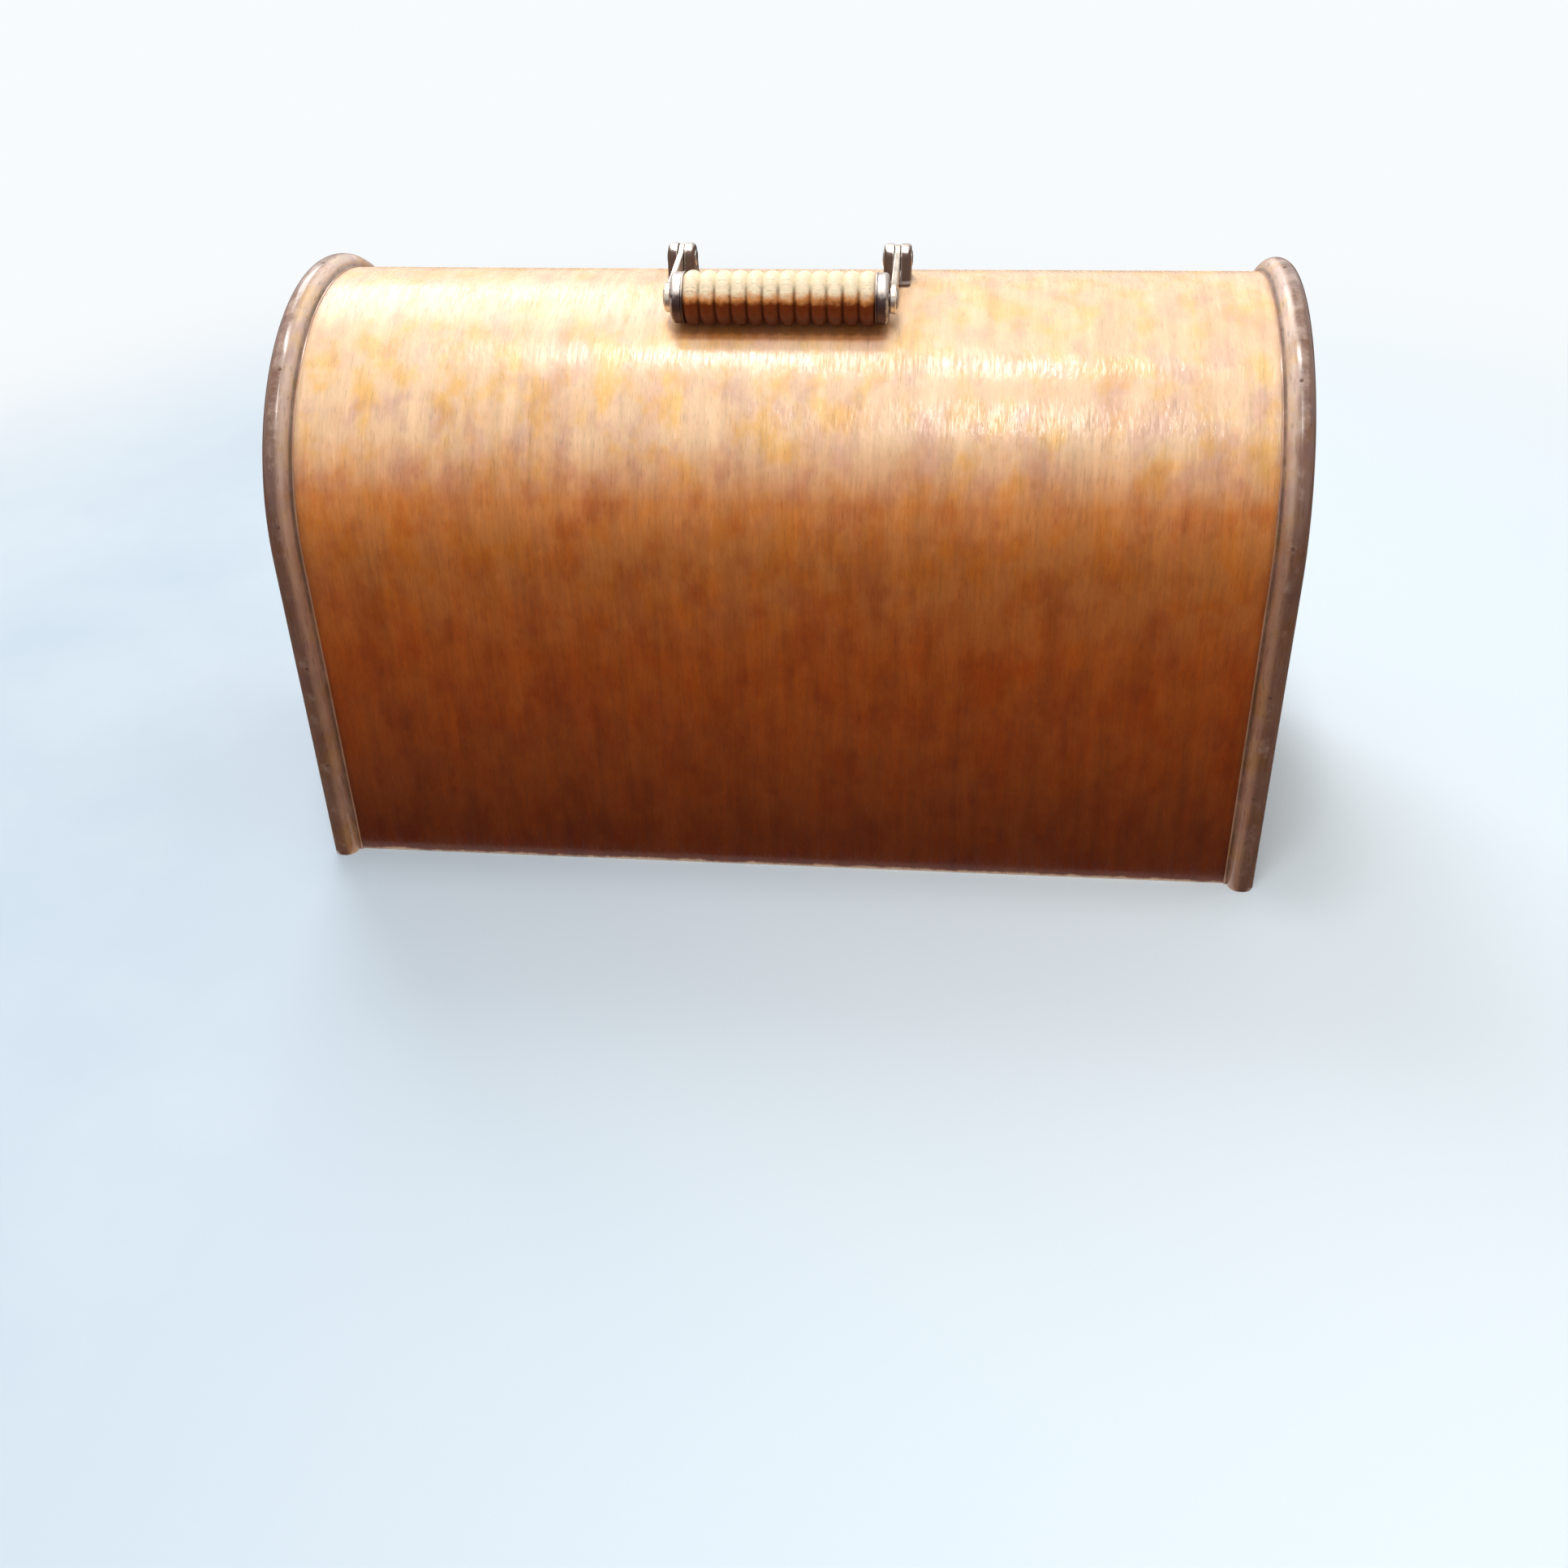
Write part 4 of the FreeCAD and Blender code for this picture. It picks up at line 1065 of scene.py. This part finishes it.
def brad_mesh(name, arch, side, bead):
    """Low discs of stopping flush with the bead's crest, one over each brad.

    Each ring is a share of the disc's radius and a height over the crest.
    """
    gap = arch.side_height / (bead.side_pins + 1)
    low_runs = evenly(bead.side_pins, gap, arch.side_height - gap)
    runs = low_runs + [arch.length - run for run in low_runs]
    runs += [arch.run_at_lean(lean) for lean in evenly(bead.arch_pins, -bead.pin_spread, bead.pin_spread)]
    along_x = Vector((1, 0, 0))
    middle = along_x * side * (BEAD_LOW.x + BEAD_HIGH.x) / 2
    rings = [(1.0, -0.6 * MM), (1.0, -0.05 * MM), (0.7, 0.02 * MM), (0.0, 0.03 * MM)]
    points, faces, spokes = [], [], 16
    for run in runs:
        centre, outward = arch.place(run)
        along_arch = outward.cross(along_x)
        first = len(points)
        for share, lift in rings:
            for angle in round_a_circle(spokes):
                spoke = along_x * math.cos(angle) + along_arch * math.sin(angle)
                level = middle + centre + outward * (BEAD_CREST + lift)
                points.append(level + spoke * bead.pin_radius * share)
        faces += ring_faces(first, len(rings), spokes)
        faces.append(tuple(range(first, first + spokes)))
    return welded_mesh(name, points, faces, smooth_below=50)


class COVER_OT_woodwork(bpy.types.Operator):
    """Finish the end panels and the woodwork inside"""

    bl_idname = "cover.woodwork"
    bl_label = "Panels and Blocks"

    def execute(self, context):
        for end in ENDS:
            dress({f"{end}_end_panel": 0.5 * MM, f"{end}_glue_blocks": 0.7 * MM})
        dress({"front_bottom_rail": 0.8 * MM, "back_bottom_rail": 0.8 * MM, "handle_batten": 1.0 * MM})
        return {"FINISHED"}


def domed_end(x, way, radius, height):
    """Profile of a low rivet head from its rim at x to its middle, towards +X or -X."""
    return [
        (x + way * height * (0.25 + 0.75 * math.sin(angle)), radius * math.cos(angle))
        for angle in evenly(8, 0.0, math.pi / 2)
    ]


def riveted_pin(name, node, axis, radius, head_radius, x_low, x_high):
    """A pin along X between two low domed heads, which reach as far as its frame node."""
    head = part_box(node)[1].x - x_high
    left = domed_end(x_low, -1, head_radius, head)[::-1]
    right = domed_end(x_high, 1, head_radius, head)
    shank = [(x_low, head_radius), (x_low, radius), (x_high, radius), (x_high, head_radius)]
    stand_in(name, turned_mesh(name, left + shank + right, axis, {}, spokes=48), node)


class COVER_OT_brackets(bpy.types.Operator):
    """Finish the two handle brackets with their pins, washers and nuts"""

    bl_idname = "cover.brackets"
    bl_label = "Handle Brackets"

    def execute(self, context):
        handle = settings().handle
        for end in ENDS:
            dress({f"{end}_handle_bracket": 1.0 * MM}, segments=4)
            ear_low, ear_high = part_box(f"{end}_handle_bracket")
            riveted_pin(
                f"{end}_pivot_rivet", f"{end}_bracket_pin", PIVOT, handle.pin_radius,
                handle.pin_head_radius, ear_low.x, ear_high.x,
            )
        dress({"bracket_washers": 0.3 * MM, "bracket_nuts": 0.5 * MM})
        return {"FINISHED"}


def link_outline(reach, handle):
    """Half outline, over the top, of a link that lies level with its pin eye at the origin."""
    half, hollow = handle.waist_width / 2, handle.waist_fillet
    outline = []
    for eye, start in ((handle.pin_eye_radius, 0.0), (handle.rod_eye_radius, -reach)):
        towards = -1 if start == 0.0 else 1
        across = math.sqrt((eye + hollow) ** 2 - (half + hollow) ** 2)
        touch = math.atan2(half + hollow, across)
        rim = [(math.cos(a), math.sin(a)) for a in evenly(14, math.pi, touch)]
        bend = [(math.cos(a), math.sin(a)) for a in evenly(5, touch - math.pi, -math.pi / 2)]
        part = [(start + towards * eye * y, eye * z) for y, z in rim]
        centre = (start + towards * across, half + hollow)
        part += [(centre[0] + towards * hollow * y, centre[1] + hollow * z) for y, z in bend]
        outline += part if start == 0.0 else part[::-1]
    return outline


class COVER_OT_links(bpy.types.Operator):
    """Build the two strap links and the riveted rod"""

    bl_idname = "cover.links"
    bl_label = "Handle Links"

    def execute(self, context):
        handle = settings().handle
        arm = ROD_AXIS - PIVOT
        fold = math.atan2(-arm.z, -arm.y)
        upper = link_outline(arm.length, handle)
        outline = upper + [(y, -z) for y, z in upper[-2:0:-1]]
        turn = Matrix.Translation(PIVOT) @ Matrix.Rotation(fold, 4, "X")
        folded = [turn @ Vector((0, y, z)) for y, z in outline]
        count = len(outline)
        faces = ring_faces(0, 2, count) + [tuple(range(count)), tuple(range(count, 2 * count))]
        for end in ENDS:
            name, node = f"{end}_strap_link", f"{end}_handle_link"
            points = [point + Vector((face.x, 0, 0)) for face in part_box(node) for point in folded]
            link = stand_in(name, welded_mesh(name, points, faces, smooth_below=SHARP_EDGE), node)
            soften_edges(link, handle.link_edge)
        link_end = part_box("right_handle_link")[1].x
        riveted_pin(
            "riveted_rod", "grip_rod", ROD_AXIS, handle.rod_radius, handle.rod_head_radius,
            -link_end, link_end,
        )
        return {"FINISHED"}


class COVER_OT_grip(bpy.types.Operator):
    """Turn the ribbed grip and press its two end caps"""

    bl_idname = "cover.grip"
    bl_label = "Ribbed Grip"

    def execute(self, context):
        handle = settings().handle
        radius = (GRIP_HIGH.y - GRIP_LOW.y) / 2
        bore = handle.rod_radius + ROD_CLEARANCE
        spigot, depth = handle.spigot_radius, handle.groove_depth
        ribs_end = CAP_LOW.x
        rib = 2 * ribs_end / handle.rib_count
        groove = radius - depth
        curve = (rib * rib / 4 + depth ** 2) / (2 * depth)
        profile = [(GRIP_LOW.x, bore), (GRIP_LOW.x, spigot), (-ribs_end, spigot)]
        for i in range(handle.rib_count):
            middle = -ribs_end + (i + 0.5) * rib
            squeeze = 1 + 0.03 * noise.noise(Vector((i * 1.7, 0.5, 0.5)))
            for across in evenly(15, -rib / 2, rib / 2):
                arc = math.sqrt(curve ** 2 - across ** 2) - (curve - depth)
                profile.append((middle + across * squeeze, groove + arc))
        profile += [(ribs_end, spigot), (GRIP_HIGH.x, spigot), (GRIP_HIGH.x, bore)]

        def crevice(x, r):
            return fading(groove + 0.1 * depth, groove + 0.7 * depth, r)

        mesh = turned_mesh("ribbed_grip", profile, ROD_AXIS, {"crevice": crevice}, spokes=96, closed=True)
        stand_in("ribbed_grip", mesh, "handle_grip")
        for end, side in ENDS.items():
            press_cap(end, side, handle)
        return {"FINISHED"}


def press_cap(end, side, handle):
    """A pressed cup with a rolled rim, a round outer corner and a hole for the rod."""
    outside, rim = CAP_HIGH.x, CAP_LOW.x
    cup = (CAP_HIGH.y - CAP_LOW.y) / 2
    hole = handle.rod_radius + ROD_CLEARANCE
    roll = 0.45 * MM
    rolled = [
        (rim + roll - roll * math.cos(a), cup - roll + roll * math.sin(a)) for a in evenly(7, 0.0, math.pi)
    ]
    bend, wall_end = handle.cap_round, outside - handle.cap_wall
    in_at_rim, in_midway, in_at_corner = 0.25 * MM, 0.2 * MM, 0.15 * MM
    waist = [(rim + 2.4 * roll, cup - in_at_rim), (outside - bend - 0.4 * MM, cup - in_midway)]
    corner = [
        (outside - bend * (1 - math.sin(a)), cup - in_at_corner - bend * (1 - math.cos(a)))
        for a in evenly(8, 0.0, math.pi / 2)
    ]
    dish_halfway, dish_depth = 0.35 * MM, 0.45 * MM
    dish = [(outside - dish_halfway, (cup + hole) / 2), (outside - dish_depth, hole)]
    inside = [(wall_end, hole), (wall_end, handle.spigot_radius), (rim, handle.spigot_radius)]
    profile = [(side * x, r) for x, r in rolled + waist + corner + dish + inside]

    def wear(x, r):
        near_face = smoothstep(outside - 2.2 * MM, outside - 0.5 * MM, abs(x))
        return 0.7 * near_face * smoothstep(0.6 * cup, cup, r)

    def crevice(x, r):
        return fading(hole, hole + 2.5 * MM, r)

    name = f"{end}_pressed_cap"
    mesh = turned_mesh(name, profile, ROD_AXIS, {"wear": wear, "crevice": crevice}, closed=True)
    stand_in(name, mesh, f"{end}_grip_cap")


SLOT_DEPTH, SLOT_WIDTH = 0.7 * MM, 0.8 * MM


def slot_cutter(node, side):
    """A bar through each screw head of a node, turned a little differently in each."""
    cutter = bmesh.new()
    for i, (low, high) in enumerate(loose_parts(frame["nodes"][node].data)):
        head_x = low.x if side > 0 else high.x
        size = Vector((2 * SLOT_DEPTH, SLOT_WIDTH, 1.4 * (high.z - low.z)))
        turn = Matrix.Rotation(math.radians(25 + 53 * i), 4, "X")
        place = Matrix.Translation(Vector((head_x, (low.y + high.y) / 2, (low.z + high.z) / 2)))
        bmesh.ops.create_cube(cutter, size=1.0, matrix=place @ turn @ Matrix.Diagonal((*size, 1.0)))
    mesh = bpy.data.meshes.new("slot_cutter")
    cutter.to_mesh(mesh)
    cutter.free()
    return new_object("slot_cutter", mesh)


def finish_screws(node, side):
    """Screws that go in towards +X or -X, with a driver slot cut across each head."""
    piece, tool = clean_copy(node), slot_cutter(node, side)
    cut = piece.modifiers.new("Driver slots", "BOOLEAN")
    cut.operation = "DIFFERENCE"
    cut.object = tool
    cut.solver = "EXACT"
    bpy.context.view_layer.update()
    shaped = piece.evaluated_get(bpy.context.evaluated_depsgraph_get())
    finished = bpy.data.meshes.new_from_object(shaped)
    piece.modifiers.clear()
    piece.data = finished
    bar = tool.data
    bpy.data.objects.remove(tool)
    bpy.data.meshes.remove(bar)


class COVER_OT_lock(bpy.types.Operator):
    """Finish the lock, its hook and screws, and the keyhole plate"""

    bl_idname = "cover.lock"
    bl_label = "Lock"

    def execute(self, context):
        dress({
            "lock_plate": 0.3 * MM, "lock_case": 0.3 * MM, "lock_hook": 0.4 * MM, "lock_pivot": 0.2 * MM,
            "lock_key_post": 0.2 * MM, "lock_spring": 0.1 * MM, "keyhole_plate": 0.35 * MM,
            "keyhole_pins": 0.25 * MM,
        })
        finish_screws("lock_screws", 1)
        return {"FINISHED"}


class COVER_OT_catch(bpy.types.Operator):
    """Finish the slotted catch plate and its screws"""

    bl_idname = "cover.catch"
    bl_label = "Catch"

    def execute(self, context):
        dress({"catch_plate": 0.3 * MM})
        finish_screws("catch_screws", -1)
        return {"FINISHED"}


# ---- stage ----

@finish_of("pale_floor", "stage")
def floor_finish(w, shader, stage):
    """A pale floor that keeps shadows near the cover, whitens far away, and is seen through from below."""
    position = w.position()
    place = w.split(position)
    distance = w.add("ShaderNodeVectorMath", {0: position}, operation="LENGTH").outputs["Value"]
    in_camera = w.add("ShaderNodeLightPath").outputs["Is Camera Ray"]

    def within(axis, reach):
        return w.math("LESS_THAN", w.math("ABSOLUTE", place[axis]), reach)

    cloud = w.remap(w.noise(position, 3.0, detail=5.0, roughness=0.6), 0.35, 0.7, 0.0, 0.35)
    seen = w.mix(w.larger(cloud, w.remap(place["X"], -0.4, 0.35)), stage.floor, stage.floor_light)
    far_away = w.times(w.remap(distance, 0.45, 1.0), in_camera)
    glow = w.times(w.minus(1.0, in_camera), stage.inside_glow)
    below_cover = w.times(w.times(within("X", BEAD_HIGH.x), within("Y", BEAD_HIGH.y)), glow)
    colour = w.mix(far_away, w.mix(in_camera, stage.floor_bounce, seen), (0.0, 0.0, 0.0))
    w.feed(shader["Base Color"], colour)
    w.feed(shader["Roughness"], w.remap(cloud, 0.0, 0.35, 0.55, 0.7))
    w.feed(shader["Emission Color"], stage.floor_far)
    w.feed(shader["Emission Strength"], w.plus(far_away, below_cover))
    shader["Specular IOR Level"].default_value = 0.0
    from_below = w.add("ShaderNodeNewGeometry").outputs["Backfacing"]
    clear = w.add("ShaderNodeBsdfTransparent")
    solid = w.surface.links[0].from_socket
    both = w.add("ShaderNodeMixShader", {0: from_below, 1: solid, 2: clear.outputs[0]})
    w.feed(w.surface, both.outputs[0])


def sky(stage):
    """Even pale light, seen as white by the camera and in reflections."""
    world = bpy.data.worlds.new("studio_sky")
    world.use_nodes = True
    world.node_tree.nodes.clear()
    w = Wiring(world.node_tree)
    path = w.add("ShaderNodeLightPath").outputs
    seen = w.larger(path["Is Camera Ray"], w.times(path["Is Glossy Ray"], 0.6))
    lit = w.add("ShaderNodeBackground", {"Color": tint(253, 250, 248), "Strength": stage.sky_strength})
    shown = w.add("ShaderNodeBackground", {"Color": stage.floor_far, "Strength": 1.0})
    both = w.add("ShaderNodeMixShader", {0: seen, 1: lit.outputs[0], 2: shown.outputs[0]})
    w.add("ShaderNodeOutputWorld", {"Surface": both.outputs[0]})
    return world


COVER_MIDDLE = Vector((0.0, 0.0, 0.2))
WARM_WHITE, COOL_WHITE = tint(255, 251, 247), tint(252, 253, 255)
# name, place, width and depth in metres, power in watts, colour, and the rays that don't meet the lamp
LAMPS = (
    ("key_lamp", (-0.05, -0.62, 2.2), 0.40, 0.30, 13.5, WARM_WHITE, "glossy"),
    ("overhead_lamp", (-0.16, 0.10, 2.2), 0.40, 0.30, 7.0, WARM_WHITE, "glossy"),
    ("front_lamp", (0.17, -1.2, 2.2), 0.50, 0.30, 11.0, WARM_WHITE, "glossy"),
    ("overhead_glint", (-0.16, 0.05, 2.2), 0.22, 0.90, 26.0, WARM_WHITE, "diffuse"),
    ("front_glint", (0.17, -1.2, 2.2), 0.18, 0.70, 15.0, WARM_WHITE, "diffuse"),
    ("back_panel", (-1.10, 2.1, 2.5), 1.3, 1.8, 44.0, COOL_WHITE, "camera"),
)


def area_lamp(name, place, width, depth, power, colour, unmet):
    """A lamp aimed at the cover, which neither the camera nor the unmet kind of ray sees."""
    data = bpy.data.lights.new(name, "AREA")
    data.shape = "RECTANGLE"
    data.size, data.size_y = width, depth
    data.energy = power * settings().stage.lamp_strength
    data.color = colour
    lamp = new_object(name, data)
    lamp.location = place
    lamp.rotation_euler = (COVER_MIDDLE - Vector(place)).to_track_quat("-Z", "Y").to_euler()
    lamp.visible_camera = False
    setattr(lamp, f"visible_{unmet}", False)


class COVER_OT_stage(bpy.types.Operator):
    """Lay the pale floor and set up the lamps and the camera"""

    bl_idname = "cover.stage"
    bl_label = "Stage"

    def execute(self, context):
        stage = settings().stage
        half = stage.floor_size / 2
        level = -0.2 * MM
        corners = [(x, y, level) for x, y in ((-half, -half), (half, -half), (half, half), (-half, half))]
        floor = new_object("floor", welded_mesh("floor", corners, [(0, 1, 2, 3)]))
        floor.data.materials.append(finish("floor_finish"))
        context.scene.world = sky(stage)
        for lamp in LAMPS:
            area_lamp(*lamp)
        self.place_camera(context, stage)
        context.scene.view_settings.view_transform = "Standard"
        return {"FINISHED"}

    def place_camera(self, context, stage):
        data = bpy.data.cameras.new("studio_camera")
        data.lens = stage.camera_lens
        data.sensor_width = 36.0
        data.clip_start = 0.01
        camera = new_object("studio_camera", data)
        level = Matrix.Rotation(math.pi / 2, 3, "X")
        turned = Matrix.Rotation(stage.camera_yaw, 3, "Z")
        pitched = Matrix.Rotation(-stage.camera_pitch, 3, "X")
        rolled = Matrix.Rotation(-stage.camera_roll, 3, "Z")
        camera.matrix_world = (turned @ pitched @ level @ rolled).to_4x4()
        camera.location = stage.camera_place
        context.scene.camera = camera


# ---- add-on ----

BUILD_STEPS = (
    COVER_OT_shell, COVER_OT_beads, COVER_OT_woodwork, COVER_OT_brackets, COVER_OT_links,
    COVER_OT_grip, COVER_OT_lock, COVER_OT_catch, COVER_OT_stage,
)


class COVER_PT_panel(bpy.types.Panel):
    """Buttons and settings of the cover"""

    bl_idname = "COVER_PT_panel"
    bl_label = "Machine Cover"
    bl_space_type = "VIEW_3D"
    bl_region_type = "UI"
    bl_category = "Cover"

    def draw(self, context):
        for step in BUILD_STEPS:
            self.layout.operator(step.bl_idname)
        for name in ("shell", "bead", "handle", "colours", "stage"):
            group = getattr(context.scene.cover, name)
            box = self.layout.box()
            box.label(text=name.title())
            for key in group.__annotations__:
                box.prop(group, key)


CLASSES = (
    CoverShellSettings, CoverBeadSettings, CoverHandleSettings, CoverColourSettings,
    CoverStageSettings, CoverSettings, *BUILD_STEPS, COVER_PT_panel,
)


def register():
    for made in CLASSES:
        bpy.utils.register_class(made)
    bpy.types.Scene.cover = PointerProperty(
        type=CoverSettings, name="Cover", description="The cover's settings"
    )


def unregister():
    del bpy.types.Scene.cover
    for made in reversed(CLASSES):
        bpy.utils.unregister_class(made)


def main():
    register()
    for step in BUILD_STEPS:
        group, name = step.bl_idname.split(".")
        getattr(getattr(bpy.ops, group), name)()


if __name__ == "__main__":
    main()
